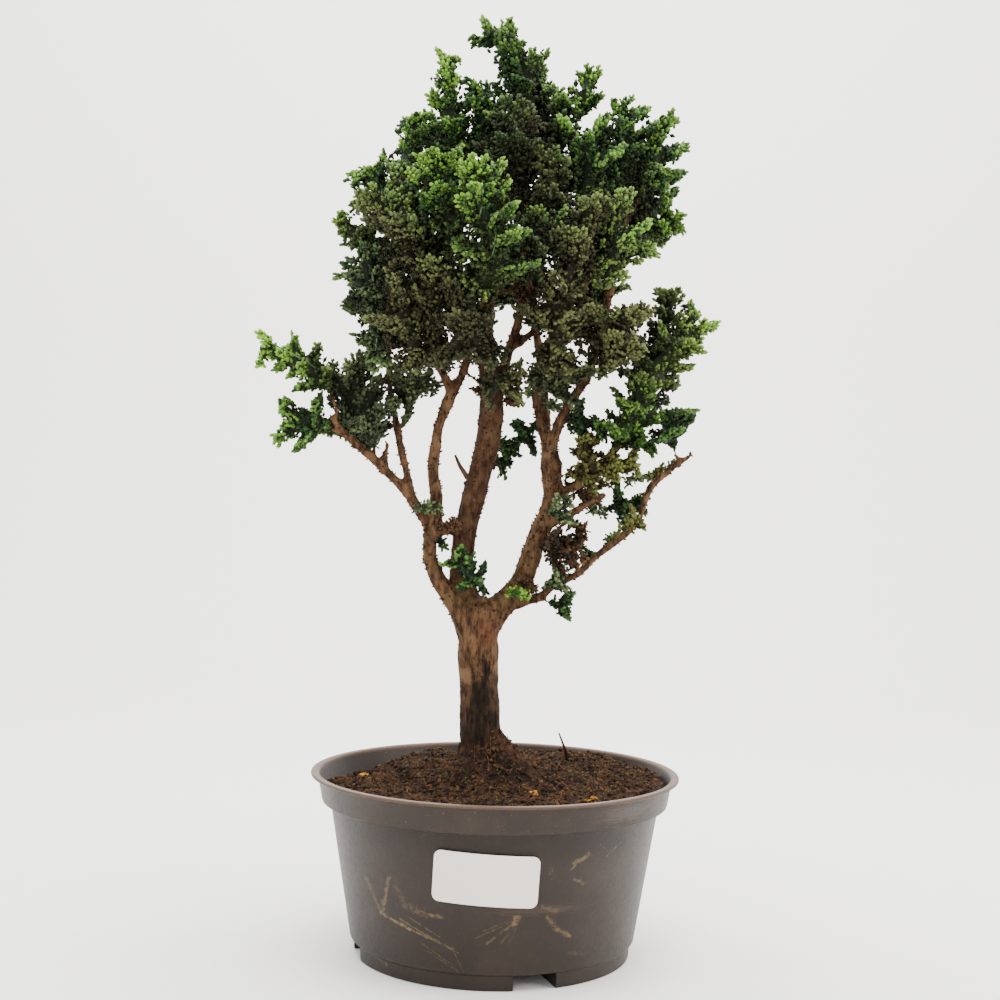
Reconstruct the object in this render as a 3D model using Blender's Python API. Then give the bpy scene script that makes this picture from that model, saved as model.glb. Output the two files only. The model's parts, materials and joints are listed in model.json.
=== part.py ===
"""Hinoki cypress bonsai in its round nursery pot: pot, label, soil, wood and foliage sprays.

Metres, +Z up. The origin is the middle of the pot's base, on the surface it stands on, and the
labelled side faces -Y. Sizes and places are given in millimetres and turned into metres where a
mesh is made. The tree's places are read from straight in front, as if they lay in the plane
y = 0, and seen() carries each one to its own depth.
"""

import math
import random

import bmesh
import bpy
from mathutils import Matrix, Vector
from mathutils.bvhtree import BVHTree

MM = 0.001
GAP = 0.3  # kept between pieces that touch

EYE_DISTANCE = 800.0
EYE_HEIGHT = 233.0

POT_SIDES = 30
RIM_RADIUS = 94.0
RIM_HEIGHT = 91.5
LIP_THICKNESS = 1.5
LIP_INNER_RADIUS = 90.0
SKIRT_TOP_RADIUS = 90.5
SKIRT_FOOT_RADIUS = 88.3
SKIRT_FOOT_HEIGHT = 77.0
SKIRT_EDGE = 1.2
LIP_ROUND = 0.5
WALL_TOP_RADIUS = 84.0
WALL_FOOT_RADIUS = 72.4
FOOT_HEIGHT = 8.0
FOOT_RADIUS = 70.2
WALL = 1.8
ABOVE_RIM = 5.0  # how far the cutters reach past the rim
FLOOR = 2.0
CHANNEL_WIDTH = 21.5
CHANNEL_START = 32.0
CHANNEL_TURNS = (17.5, 107.5, 197.5, 283.5)  # degrees from the front of the pot
DRAIN_RADIUS = 4.0
DRAIN_SIDES = 8
DRAIN_DEPTH = 12.0
DRAIN_FROM_AXIS = 45.0

LABEL_WIDTH = 50.0
LABEL_HEIGHT = 25.0
LABEL_CORNER = 3.5
LABEL_THICKNESS = 0.4
LABEL_MIDDLE = (-3.3, 54.8)
LABEL_TILT = 2.8  # degrees, right end down
LABEL_STRIPS = 8
CORNER_STEPS = 3

STUMP_X = -8.0
STUMP_RADIUS = 10.6
STUMP_FOOT = 58.0
STUMP_TOP = 112.0
STUMP_SIDES = 12
SOIL_BASE = FOOT_HEIGHT + FLOOR + GAP
SOIL_LEVEL = 87.0
SOIL_MOUND = 20.0
MOUND_SPREAD = 20.0
MOUND_X = -5.0
RISE_TO_RIGHT = 2.5  # from the middle of the pot to its rim
RISE_TO_FRONT = 1.0
HOLLOW_MIDDLE = (-70.0, 38.0)
HOLLOW_DEPTH = 7.0
HOLLOW_SPREAD = 24.0
SOIL_LUMPS = 26
LUMPS_REACH = 80.0
LUMP_RISE = (-2.0, 2.6)
LUMP_SPREAD = (9.0, 15.0)
LEAST_SOIL = 2.5  # over the foot of the skirt
SOIL_BELOW_RIM = 2.5  # where it meets the wall
SOIL_RINGS = 7
SOIL_SIDES = 24

# Each limb is a run of x, y, z and radius.
LIMBS = {
    "trunk": ((-8, 0, 112, 11), (-8.4, 0, 125, 10.6), (-9.3, 0, 136, 9.8), (-9.9, 0, 148, 9.9),
              (-10, 0, 159, 10), (-9.6, 0, 167, 11.6), (-9.3, 0, 174, 12), (-8.5, 0, 180, 6)),
    "left_limb": ((-14, 0, 160, 7), (-17.6, -2, 171, 7.4), (-24.8, -4, 181, 5.6), (-32, -5, 190, 4.3),
                  (-36, -6, 200, 3.8), (-36, -6, 209, 4.1), (-34.5, -6, 217, 5.2),
                  (-33, -6, 231, 3.7), (-35, -6, 242, 3.2), (-35, -6, 251, 3.1),
                  (-33, -6, 267, 2.9), (-28.5, -7, 280, 3.3), (-25.5, -7, 288, 3.3)),
    "left_bridge": ((-35, -6, 214, 3.4), (-27, -3, 214.5, 2.6), (-19, 2, 216, 3)),
    "left_arm": ((-26.5, -7, 284, 3), (-31, -9, 295, 2.5), (-37, -12, 303, 2.4),
                 (-42, -16, 322, 2.2), (-45, -20, 345, 1.9)),
    "left_fork": ((-26.5, -7, 284, 3), (-22.5, -9, 292, 2.7), (-19, -14, 301, 2.5),
                  (-17, -22, 318, 2.2), (-15, -28, 342, 1.9)),
    "far_left": ((-35, -6, 214, 3.6), (-42.5, -8, 225, 3.3), (-48, -10, 233, 3.1),
                 (-54.5, -12, 239.5, 2.9), (-61.6, -14, 246.5, 2.7), (-72.7, -16, 255.6, 2.4),
                 (-80, -17, 262, 2), (-89, -19, 272, 1.6)),
    "far_left_stub": ((-59, -13, 244, 2), (-60, -13, 252, 1.8), (-58.6, -12, 259, 1.4)),
    "left_riser": ((-46, -10, 232, 2.5), (-49, -8, 245, 2.4), (-52.5, -6, 258, 2.3),
                   (-54, -3, 266, 2.2), (-58, 0, 285, 2.1), (-60, 3, 310, 1.9),
                   (-58, 3, 345, 1.7), (-54, 0, 374, 1.5)),
    "centre": ((-12, 2, 160, 8), (-17, 3, 178, 8.5), (-19.5, 3, 190, 7), (-19.4, 3, 200, 6.6),
               (-18.5, 3, 210, 6.5), (-17, 3, 218, 6.4), (-14, 3, 232, 6.4),
               (-10.3, 3, 247, 6.4), (-7.4, 3, 259, 6.5), (-6, 3, 273, 7), (-6, 3, 284, 6.2),
               (-9, 4, 304, 4.6), (-10, 6, 330, 4), (-6, 6, 360, 3.3), (0, 4, 390, 2.6),
               (5, 2, 412, 2)),
    "centre_right": ((-5, 3, 280, 4), (0, 2, 292, 3.3), (1.5, 1, 306, 3), (6, 0, 318, 2.8),
                     (8, 0, 328, 2.6), (10, 2, 350, 2.3), (16, 2, 378, 2), (21, 0, 402, 1.6)),
    "centre_arm": ((2, 1, 307, 2.2), (10.8, 0, 314, 2.1), (19, -2, 321, 2),
                   (24, -7, 327, 1.8), (31, -15, 338, 1.6)),
    "right_limb": ((-8, 0, 162, 7), (-2, -1, 173, 8), (5.6, -2, 181, 6.8), (11.8, -3, 189, 6.2),
                   (15.2, -3, 199.8, 5.8), (18.7, -3, 210.4, 5.6), (21.5, -3, 218, 5.4),
                   (25.2, -3, 226, 5.3), (26.2, -3, 234, 5), (25.4, -3, 248, 5.8),
                   (24.4, -3, 257, 4.6)),
    "right_stem": ((24, -3, 249, 3.6), (22, -2, 262, 3), (19, 0, 272, 2.8), (16.7, 2, 285, 2.7),
                   (17, 3, 297, 2.6), (21, 4, 306, 2.5), (27.5, 5, 324, 2.3), (33, 4, 350, 2.1),
                   (39, 2, 382, 1.7)),
    "right_outer_stem": ((25, -3, 250, 3.6), (26, -4, 260, 3.1), (28.6, -5, 270, 3),
                         (33, -7, 279, 3), (43, -9, 295, 2.8), (50, -10, 320, 2.4),
                         (56, -8, 350, 2), (60, -5, 378, 1.7)),
    "right_arm": ((25, -3, 233, 3), (38, -5, 238, 2.4), (48, -7, 245, 2.2), (57, -8, 256, 1.9)),
    "low_arm": ((22, -4, 217, 3), (34, -6, 223, 2.3), (45, -7, 230, 2), (54, -7, 235, 1.6)),
    "lower_right": ((9, -3, 177.5, 3.4), (21.5, -5, 181.3, 2.7), (28, -6, 187, 2.4),
                    (34.5, -6, 190.3, 2.1), (41, -7, 194, 2.2), (49.4, -9, 202.7, 2.2),
                    (62.8, -11, 213.4, 2.2), (71, -12, 221, 2.2), (73, -12, 230, 2.1),
                    (77, -12, 239.5, 2), (85, -12, 247, 1.8), (94, -12, 253.5, 1.5),
                    (98.4, -12, 257, 1.1)),
    "back_limb": ((-4, 5, 166, 6), (9, 8, 185, 4.8), (18, 10, 208, 4.2), (25, 14, 230, 3.6),
                  (23, 24, 260, 3), (20, 36, 295, 2.6), (14, 42, 330, 2.2), (8, 40, 368, 1.7)),
    "back_left": ((-8, 5, 292, 3), (-16, 20, 312, 2.6), (-26, 34, 338, 2.2), (-30, 40, 368, 1.7)),
    "back_right": ((20, 34, 290, 2.4), (34, 42, 320, 2.1), (44, 42, 352, 1.8)),
}
TRUNK_SIDES = 10
LIMB_SIDES = 6
BRANCH_SIDES = 5
TWIG_SIDES = 4
THICK_LIMB = 4.0
TWIG_ROOT_RADIUS = 1.7
TWIG_TIP_RADIUS = 1.2
LIMB_STEP = 18.0
TWIG_STEP = 24.0
BARK_SWELL = 0.07
TWIG_BEND = 0.4  # share of a twig's length that its arch bends by

# Each spray: its tone, how far its blades reach from its own line, and that line from the limb
# that it grows on, by the twig's end, to the tip.
SPRAYS = {
    "leader_tip": ("green", 10, ((4, 2, 408), (9, 0, 430), (10, -2, 447), (3, -3, 462),
                                 (-14, -5, 470))),
    "top_shoulder": ("deep", 13, ((20, 0, 398), (22, -3, 408), (26, -7, 422), (31, -9, 432))),
    "top_back": ("deep", 18, ((2, 3, 400), (5, 14, 404), (8, 24, 422), (10, 22, 446))),
    "upper_left_plume": ("fresh", 9, ((-6, 6, 362), (-23, -5, 400), (-29, -8, 426),
                                      (-31, -9, 457))),
    "small_top_left": ("green", 11, ((-1, 4, 386), (-11, -1, 404), (-14, -4, 424), (-13, -5, 439))),
    "small_top_right": ("fresh", 7, ((21, 0, 402), (36, 0, 428), (40, 0, 440), (40, 0, 453))),
    "left_top": ("green", 12, ((-55, 0, 370), (-49, -5, 388), (-51, -7, 405), (-52, -8, 421))),
    "left_shoulder": ("green", 13, ((-56, 2, 362), (-60, 0, 376), (-65, -3, 388), (-71, -4, 399))),
    "left_outer": ("fresh", 9, ((-58, 3, 346), (-66, 0, 358), (-75, -2, 366), (-86, -2, 367))),
    "left_hanging": ("blue", 11, ((-59, 3, 330), (-66, -14, 350), (-72, -22, 347), (-67, -27, 322),
                                  (-64, -27, 301))),
    "left_front": ("bronze", 21, ((-45, -19, 340), (-47, -24, 346), (-48, -34, 362),
                                  (-52, -36, 382), (-50, -34, 398))),
    "left_front_low": ("bronze", 19, ((-40, -14, 306), (-44, -21, 302), (-47, -32, 314),
                                      (-49, -36, 336))),
    "front_left_crest": ("fresh", 18, ((-44, -18, 335), (-30, -34, 352), (-31, -43, 374),
                                       (-34, -44, 398))),
    "front_hanging": ("fresh", 16, ((-16, -24, 328), (-6, -40, 334), (-4, -54, 354),
                                    (-10, -60, 374), (-13, -61, 393))),
    "front_centre": ("green", 17, ((-15, -27, 335), (8, -36, 342), (17, -44, 352), (19, -44, 372))),
    "bronze_centre": ("bronze", 18, ((-17, -20, 312), (-20, -32, 304), (-20, -44, 314),
                                     (-20, -44, 334), (-16, -40, 356))),
    "bronze_under_left": ("bronze", 17, ((-18, -16, 304), (-29, -23, 297), (-36, -34, 312),
                                         (-37, -40, 346))),
    "bronze_collar": ("bronze", 10, ((-20, -12, 298), (-14, -18, 292), (-5, -21, 291),
                                     (8, -21, 291))),
    "right_top": ("green", 13, ((60, -5, 374), (57, -6, 390), (58, -7, 410), (59, -7, 429))),
    "right_top_outer": ("green", 14, ((59, -6, 370), (68, -5, 388), (73, -4, 404), (74, -3, 421))),
    "right_mid_outer": ("fresh", 11, ((56, -8, 354), (66, -6, 367), (76, -3, 373), (85, -2, 377))),
    "centre_right_top": ("green", 17, ((39, 2, 378), (40, -10, 386), (39, -18, 398),
                                       (38, -20, 416))),
    "centre_top_front": ("bronze", 18, ((15, 2, 374), (10, -12, 382), (4, -22, 398),
                                        (4, -22, 424))),
    "right_front_inner": ("bronze", 17, ((30, -14, 336), (32, -25, 343), (37, -37, 353),
                                         (37, -40, 377))),
    "right_front_outer": ("green", 16, ((52, -10, 336), (52, -22, 346), (53, -34, 360),
                                        (52, -36, 380))),
    "right_inner": ("bronze", 20, ((33, 4, 348), (27, -10, 357), (22, -21, 374), (22, -24, 399))),
    "right_side_back": ("deep", 18, ((56, -8, 350), (61, 6, 360), (66, 20, 378), (68, 22, 404))),
    "right_low_front": ("bronze", 20, ((46, -9, 304), (48, -18, 294), (55, -26, 301),
                                       (59, -30, 324))),
    "right_stem_clump": ("grey", 14, ((17, 3, 290), (21, -9, 288), (27, -16, 292), (34, -18, 302))),
    "small_upright": ("olive", 6, ((40, -5, 240), (42, -10, 247), (43, -12, 256), (44, -12, 265))),
    "dark_hand": ("deep", 10, ((27, -4, 263), (33, -2, 272), (42, -6, 273), (54, -9, 270))),
    "lower_right_frond": ("olive", 8, ((26, -4, 241), (34, -13, 245), (50, -18, 248),
                                       (69, -19, 250))),
    "pale_sprig": ("grey", 8, ((25, -4, 224), (24, -13, 224), (31, -18, 226))),
    "finger_fan": ("olive", 9, ((58, -10, 210), (61, -14, 216), (72, -17, 222))),
    "dead_clump": ("dead", 11, ((18, -3, 206), (21, -11, 207), (28, -14, 207), (38, -12, 204))),
    "low_dark": ("deep", 9, ((50, -7, 233), (54, -2, 227), (63, 0, 230), (73, 0, 232))),
    "low_tuft": ("grey", 7, ((24, -5, 183), (23, -10, 186), (32, -13, 191))),
    "hanging_tuft": ("green", 7, ((21.5, -5, 181), (26, -7, 178.5), (35, -9, 177))),
    "crotch_tuft": ("green", 8, ((-10, 0, 178), (-8, -12, 184), (-13, -14, 190), (-23, -13, 200))),
    "back_sprig": ("deep", 9, ((22, 22, 258), (17, 24, 270), (10, 22, 263), (-2, 20, 245))),
    "right_round": ("deep", 12, ((91, -12, 251), (88, -13, 259), (85, -14, 267), (86, -14, 277))),
    "right_arm_top": ("deep", 12, ((57, -8, 256), (66, 2, 277), (75, 5, 298), (83, 2, 318),
                                   (86, 0, 335))),
    "right_arm_fan": ("fresh", 12, ((48, -7, 246), (57, -11, 258), (66, -14, 271), (75, -15, 292),
                                    (88, -14, 312), (98, -13, 324))),
    "far_left_upper": ("fresh", 9, ((-86, -18, 268), (-89, -20, 285), (-103, -22, 299),
                                    (-125, -23, 306))),
    "far_left_lower": ("green", 12, ((-79, -17, 261), (-88, -17, 265), (-100, -18, 269),
                                     (-112, -19, 269))),
    "left_low_mass": ("grey", 17, ((-66, -15, 250), (-66, -12, 257), (-72, -9, 270),
                                   (-79, -6, 289))),
    "left_low_inner": ("grey", 14, ((-54, -3, 266), (-50, -10, 270), (-46, -15, 282),
                                    (-46, -16, 300))),
    "left_riser_foliage": ("deep", 14, ((-60, 2, 300), (-60, 10, 304), (-63, 16, 318),
                                        (-65, 16, 338))),
    "back_top": ("deep", 22, ((8, 40, 364), (8, 42, 372), (2, 46, 388), (-4, 38, 410))),
    "back_left_crown": ("deep", 24, ((-30, 40, 364), (-31, 41, 372), (-35, 42, 392),
                                     (-32, 28, 416))),
    "back_left_low": ("green", 24, ((-24, 31, 332), (-30, 42, 328), (-38, 50, 336),
                                    (-46, 52, 358))),
    "back_middle": ("green", 24, ((14, 42, 328), (10, 50, 330), (6, 54, 346), (4, 54, 370))),
    "back_right_crown": ("deep", 24, ((44, 42, 348), (50, 44, 358), (57, 40, 378), (58, 30, 406))),
    "back_right_low": ("green", 24, ((34, 42, 318), (38, 50, 316), (44, 54, 330), (46, 54, 356))),
    "left_back": ("green", 19, ((-60, 3, 316), (-58, 18, 318), (-61, 34, 328), (-63, 36, 354))),
    "right_middle_front": ("bronze", 18, ((25, -5, 325), (29, -16, 312), (30, -30, 318),
                                          (27, -40, 342))),
}
SPRAY_SIDES = 6
CORE_SHARE = 0.5
DENSE_CORE_SHARE = 0.62
DENSE_SPREAD = 15
CORE_STEP_SHARE = 0.6
LEAST_CORE_STEP = 9.0
MOST_CORE_STEP = 13.5
CORE_TAPER = 0.5  # share of the core's radius that is lost by its tip
CORE_UNEVEN = 0.15
LEAST_CORE = 0.8
CORE_TIP = 0.9
CORE_MARGIN = 0.8
GUARD_SHARE = 0.2
GUARD_STEP = 8.0
STEM_LENGTH = 4.0
MOST_TRIANGLES = 17850  # blades are added until the whole object has this many
BLADES_A_RING = 3
MORE_BLADES_A_RING = 4
BLADE_ORDER = (0, 2, 4, 1, 5)  # sides of a ring, in the order that they are filled
BLADE_ROLL = 0.5
MOST_REACH = 20.0
ROOT_REACH = 1.3  # blades at the root of a spray, in its spread
TIP_REACH = 1.0
ROOT_LEAN = 78.0  # degrees between a blade and the core
TIP_LEAN = 36.0
LEAN_UNEVEN = 8.0
BLADE_TRIES = 6
SHORTER_A_TRY = 0.09
LOWER_A_TRY = 5.0  # degrees
BLADE_WIDTH = (1.05, 1.3)  # in its reach
PALM_AT = 0.52  # share of the reach where the lobes' middle lies
LOBE_TURN = 112.0  # degrees from the blade's tip to its first lobe
LOBE_SHARE = (0.9, 1.1)
VALLEY_SHARE = 0.76
BLADE_CURL = (-0.1, 0.16)
SMALL_BLADE = 9.0
LARGE_BLADE = 14.5
BLADE_THICKNESS = 3.4
SHARE_KEPT_CLEAR = 0.9
CLEARANCE = 0.35
NEAR = 6.0  # how far from a blade other solids are looked for
CORE_TRIES = 5
CORE_SHRINK = 0.82

TONES = {
    "fresh": (0.10, 0.22, 0.035),
    "green": (0.045, 0.12, 0.03),
    "deep": (0.02, 0.06, 0.022),
    "blue": (0.04, 0.12, 0.07),
    "grey": (0.10, 0.11, 0.055),
    "olive": (0.16, 0.17, 0.035),
    "bronze": (0.055, 0.042, 0.018),
    "dead": (0.13, 0.06, 0.02),
}


def clear_scene():
    for thing in list(bpy.data.objects):
        bpy.data.objects.remove(thing)


def material(name, colour, roughness):
    found = bpy.data.materials.get(name) or bpy.data.materials.new(name)
    found.use_nodes = True
    shader = found.node_tree.nodes["Principled BSDF"]
    shader.inputs["Base Color"].default_value = (*colour, 1)
    shader.inputs["Roughness"].default_value = roughness
    shader.inputs["Metallic"].default_value = 0
    return found


def mesh_object(name, bm, finish=None, smooth=40):
    """An object of the bmesh, whose points are in millimetres."""
    bmesh.ops.scale(bm, vec=(MM, MM, MM), verts=bm.verts)
    mesh = bpy.data.meshes.new(name)
    bm.to_mesh(mesh)
    bm.free()
    made = bpy.data.objects.new(name, mesh)
    bpy.context.scene.collection.objects.link(made)
    if finish:
        mesh.materials.append(finish)
        mesh.shade_smooth()
        mesh.set_sharp_from_angle(angle=math.radians(smooth))
    return made


def boolean(target, others, operation):
    """Joins the other objects to the target, or cuts them from it, and removes them."""
    group = bpy.data.collections.new("operands")
    for other in others:
        group.objects.link(other)
    step = target.modifiers.new("join", "BOOLEAN")
    step.operation = operation
    step.operand_type = "COLLECTION"
    step.collection = group
    step.solver = "EXACT"
    graph = bpy.context.evaluated_depsgraph_get()
    graph.update()
    mesh = bpy.data.meshes.new_from_object(target.evaluated_get(graph))
    target.modifiers.remove(step)
    target.data = mesh
    for other in others:
        bpy.data.objects.remove(other)
    bpy.data.collections.remove(group)


def shell_volume(faces):
    total = 0.0
    for face in faces:
        first = face.verts[0].co
        for one, two in zip(face.verts[1:-1], face.verts[2:]):
            total += first.dot(one.co.cross(two.co))
    return total / 6


def keep_largest_shell(target):
    """Drops loose scraps and the shells of sealed hollows, which fills those."""
    bm = bmesh.new()
    bm.from_mesh(target.data)
    bmesh.ops.triangulate(bm, faces=bm.faces)
    left = set(bm.faces)
    shells = []
    while left:
        shell = {left.pop()}
        edge = list(shell)
        while edge:
            near = {other for side in edge.pop().edges for other in side.link_faces}
            fresh = near & left
            left -= fresh
            shell |= fresh
            edge.extend(fresh)
        shells.append(shell)
    largest = max(shells, key=shell_volume)
    loose = [face for shell in shells if shell is not largest for face in shell]
    bmesh.ops.delete(bm, geom=loose, context="FACES")
    bm.to_mesh(target.data)
    bm.free()


def seen(place):
    """The millimetre point at its own depth of a place read from straight in front."""
    x, y, z = place[:3]
    share = (EYE_DISTANCE + y) / EYE_DISTANCE
    return Vector((x * share, y, EYE_HEIGHT + (z - EYE_HEIGHT) * share))


def curve_through(points, step):
    """Points about a step apart on a smooth curve (Catmull-Rom) through the given ones, of any
    number of values each."""
    ends = [points[0], *points, points[-1]]
    run = []
    for before, start, end, after in zip(ends, ends[1:], ends[2:], ends[3:]):
        reach = math.dist(start[:3], end[:3])
        count = max(1, round(reach / step))
        for k in range(count):
            t = k / count
            weights = (
                -0.5 * t + t * t - 0.5 * t**3,
                1 - 2.5 * t * t + 1.5 * t**3,
                0.5 * t + 2 * t * t - 1.5 * t**3,
                -0.5 * t * t + 0.5 * t**3,
            )
            four = zip(before, start, end, after)
            run.append([sum(w * v for w, v in zip(weights, values)) for values in four])
    return run + [list(points[-1])]


def tube(run, sides, first_heading=None, last_heading=None):
    """A closed bmesh round a run of x, y, z and radius, whose flat ends face the headings."""
    bm = bmesh.new()
    points = [Vector(place[:3]) for place in run]
    normal = Vector((0.3, -1, 0.2))
    rings = []
    for i, place in enumerate(run):
        along = (points[min(i + 1, len(run) - 1)] - points[max(i - 1, 0)]).normalized()
        if i == 0 and first_heading:
            along = first_heading
        if i == len(run) - 1 and last_heading:
            along = last_heading
        normal = (normal - along * normal.dot(along)).normalized()
        across = along.cross(normal)
        ring = []
        for k in range(sides):
            turn = 2 * math.pi * k / sides
            out = normal * math.cos(turn) + across * math.sin(turn)
            ring.append(bm.verts.new(points[i] + out * place[3]))
        rings.append(ring)
    for low, high in zip(rings, rings[1:]):
        for k in range(sides):
            after = (k + 1) % sides
            bm.faces.new((low[k], low[after], high[after], high[k]))
    bm.faces.new(reversed(rings[0]))
    bm.faces.new(rings[-1])
    return bm


def turned(profile, sides):
    """A closed solid turned from a profile of radius and height that starts and ends on the
    axis."""
    bm = bmesh.new()
    chain = [bm.verts.new((radius, 0, height)) for radius, height in profile]
    edges = [bm.edges.new(pair) for pair in zip(chain, chain[1:])]
    bmesh.ops.spin(
        bm,
        geom=chain + edges,
        cent=(0, 0, 0),
        axis=(0, 0, 1),
        angle=2 * math.pi,
        steps=sides,
        use_merge=True,
    )
    bmesh.ops.remove_doubles(bm, verts=bm.verts, dist=0.001)
    bmesh.ops.recalc_face_normals(bm, faces=bm.faces)
    return bm


def box(width, start, end, base, top, turn):
    """A box of that width that runs outward from the axis between two distances."""
    bm = bmesh.new()
    bmesh.ops.create_cube(bm, size=1)
    size = Matrix.Diagonal((end - start, width, top - base, 1))
    middle = Matrix.Translation(((start + end) / 2, 0, (base + top) / 2))
    bmesh.ops.transform(bm, matrix=Matrix.Rotation(turn, 4, "Z") @ middle @ size, verts=bm.verts)
    return bm


def pot():
    outside = turned(
        (
            (0, 0),
            (FOOT_RADIUS, 0),
            (FOOT_RADIUS, FOOT_HEIGHT),
            (WALL_FOOT_RADIUS, FOOT_HEIGHT),
            (WALL_TOP_RADIUS, SKIRT_FOOT_HEIGHT),
            (SKIRT_FOOT_RADIUS - SKIRT_EDGE, SKIRT_FOOT_HEIGHT),
            (SKIRT_FOOT_RADIUS, SKIRT_FOOT_HEIGHT + SKIRT_EDGE),
            (SKIRT_TOP_RADIUS, RIM_HEIGHT - LIP_THICKNESS),
            (RIM_RADIUS - LIP_ROUND, RIM_HEIGHT - LIP_THICKNESS),
            (RIM_RADIUS, RIM_HEIGHT - LIP_THICKNESS / 2),
            (RIM_RADIUS - LIP_ROUND, RIM_HEIGHT),
            (0, RIM_HEIGHT),
        ),
        POT_SIDES,
    )
    hollow = turned(
        (
            (0, FLOOR),
            (FOOT_RADIUS - WALL, FLOOR),
            (FOOT_RADIUS - WALL, SOIL_BASE - GAP),
            (WALL_FOOT_RADIUS - WALL, SOIL_BASE - GAP),
            (WALL_TOP_RADIUS - WALL, SKIRT_FOOT_HEIGHT + WALL),
            (SKIRT_FOOT_RADIUS - WALL, SKIRT_FOOT_HEIGHT + WALL),
            (LIP_INNER_RADIUS - 1, RIM_HEIGHT - LIP_THICKNESS),
            (LIP_INNER_RADIUS, RIM_HEIGHT + ABOVE_RIM),
            (0, RIM_HEIGHT + ABOVE_RIM),
        ),
        POT_SIDES,
    )
    shell = mesh_object("pot", outside, material("pot_plastic", (0.045, 0.038, 0.034), 0.5), 35)
    inside = mesh_object("hollow", hollow)
    roofs = []
    cuts = []
    for from_front in CHANNEL_TURNS:
        turn = math.radians(from_front - 90)
        over = box(CHANNEL_WIDTH + 2 * FLOOR, CHANNEL_START - FLOOR, 2 * RIM_RADIUS, -FOOT_HEIGHT,
                   FOOT_HEIGHT + FLOOR, turn)
        roofs.append(mesh_object("roof", over))
        under = box(CHANNEL_WIDTH, CHANNEL_START, 2 * RIM_RADIUS, -FOOT_HEIGHT, FOOT_HEIGHT, turn)
        cuts.append(mesh_object("channel", under))
        hole = bmesh.new()
        place = Matrix.Rotation(turn, 4, "Z") @ Matrix.Translation((DRAIN_FROM_AXIS, 0, FOOT_HEIGHT))
        bmesh.ops.create_cone(hole, cap_ends=True, segments=DRAIN_SIDES, radius1=DRAIN_RADIUS,
                              radius2=DRAIN_RADIUS, depth=DRAIN_DEPTH, matrix=place)
        cuts.append(mesh_object("drain", hole))
    boolean(inside, roofs, "DIFFERENCE")
    boolean(shell, [inside], "DIFFERENCE")
    boolean(shell, cuts, "DIFFERENCE")
    keep_largest_shell(shell)
    return shell


def wall_radius(height):
    share = (height - FOOT_HEIGHT) / (SKIRT_FOOT_HEIGHT - FOOT_HEIGHT)
    return WALL_FOOT_RADIUS + (WALL_TOP_RADIUS - WALL_FOOT_RADIUS) * share


def label():
    """A sheet with rounded corners, bent round the wall a hair clear of it."""
    bm = bmesh.new()
    corners = []
    for k, (side, up) in enumerate(((1, 1), (-1, 1), (-1, -1), (1, -1))):
        for step in range(CORNER_STEPS + 1):
            turn = math.radians(90 * (k + step / CORNER_STEPS))
            corners.append(
                bm.verts.new(
                    (
                        side * (LABEL_WIDTH / 2 - LABEL_CORNER) + LABEL_CORNER * math.cos(turn),
                        0,
                        up * (LABEL_HEIGHT / 2 - LABEL_CORNER) + LABEL_CORNER * math.sin(turn),
                    )
                )
            )
    bm.faces.new(corners)
    for k in range(1, LABEL_STRIPS):
        everything = bm.verts[:] + bm.edges[:] + bm.faces[:]
        line = (-LABEL_WIDTH / 2 + LABEL_WIDTH * k / LABEL_STRIPS, 0, 0)
        bmesh.ops.bisect_plane(bm, geom=everything, plane_co=line, plane_no=(1, 0, 0))
    bmesh.ops.recalc_face_normals(bm, faces=bm.faces)
    sheet = bmesh.ops.extrude_face_region(bm, geom=bm.faces[:])["geom"]
    outer = {item for item in sheet if isinstance(item, bmesh.types.BMVert)}
    tilt = math.radians(-LABEL_TILT)
    for vert in bm.verts:
        x, z = vert.co.x, vert.co.z
        across = x * math.cos(tilt) - z * math.sin(tilt) + LABEL_MIDDLE[0]
        height = x * math.sin(tilt) + z * math.cos(tilt) + LABEL_MIDDLE[1]
        radius = wall_radius(height) + GAP + (LABEL_THICKNESS if vert in outer else 0)
        turn = across / wall_radius(height)
        vert.co = (radius * math.sin(turn), -radius * math.cos(turn), height)
    bmesh.ops.recalc_face_normals(bm, faces=bm.faces)
    return mesh_object("label", bm, material("label_paper", (0.85, 0.85, 0.83), 0.45))


def soil_height(x, y, lumps):
    """Nearly level with the lip in front and on the right, low at the back left, and heaped
    against the trunk."""
    from_trunk = math.hypot(x - MOUND_X, y)
    height = SOIL_LEVEL + SOIL_MOUND * math.exp(-((from_trunk / MOUND_SPREAD) ** 2))
    height += (RISE_TO_RIGHT * x - RISE_TO_FRONT * y) / RIM_RADIUS
    from_hollow = math.hypot(x - HOLLOW_MIDDLE[0], y - HOLLOW_MIDDLE[1])
    height -= HOLLOW_DEPTH * math.exp(-((from_hollow / HOLLOW_SPREAD) ** 2))
    for lump_x, lump_y, rise, spread in lumps:
        height += rise * math.exp(-((x - lump_x) ** 2 + (y - lump_y) ** 2) / spread**2)
    return height


def soil_lumps():
    """Places, rises and spreads of the soil's lumps and hollows."""
    rng = random.Random(5)
    lumps = []
    for _ in range(SOIL_LUMPS):
        turn = rng.uniform(0, 2 * math.pi)
        reach = LUMPS_REACH * math.sqrt(rng.random())
        spread = rng.uniform(*LUMP_SPREAD)
        place = (reach * math.cos(turn), reach * math.sin(turn))
        lumps.append((*place, rng.uniform(*LUMP_RISE), spread))
    return lumps


def soil_ring(bm, radius, height_at):
    """A ring of points round the pot's axis, at the height for each place."""
    ring = []
    for k in range(SOIL_SIDES):
        turn = 2 * math.pi * k / SOIL_SIDES
        x, y = radius * math.cos(turn), radius * math.sin(turn)
        ring.append(bm.verts.new((x, y, height_at(x, y))))
    return ring


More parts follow.
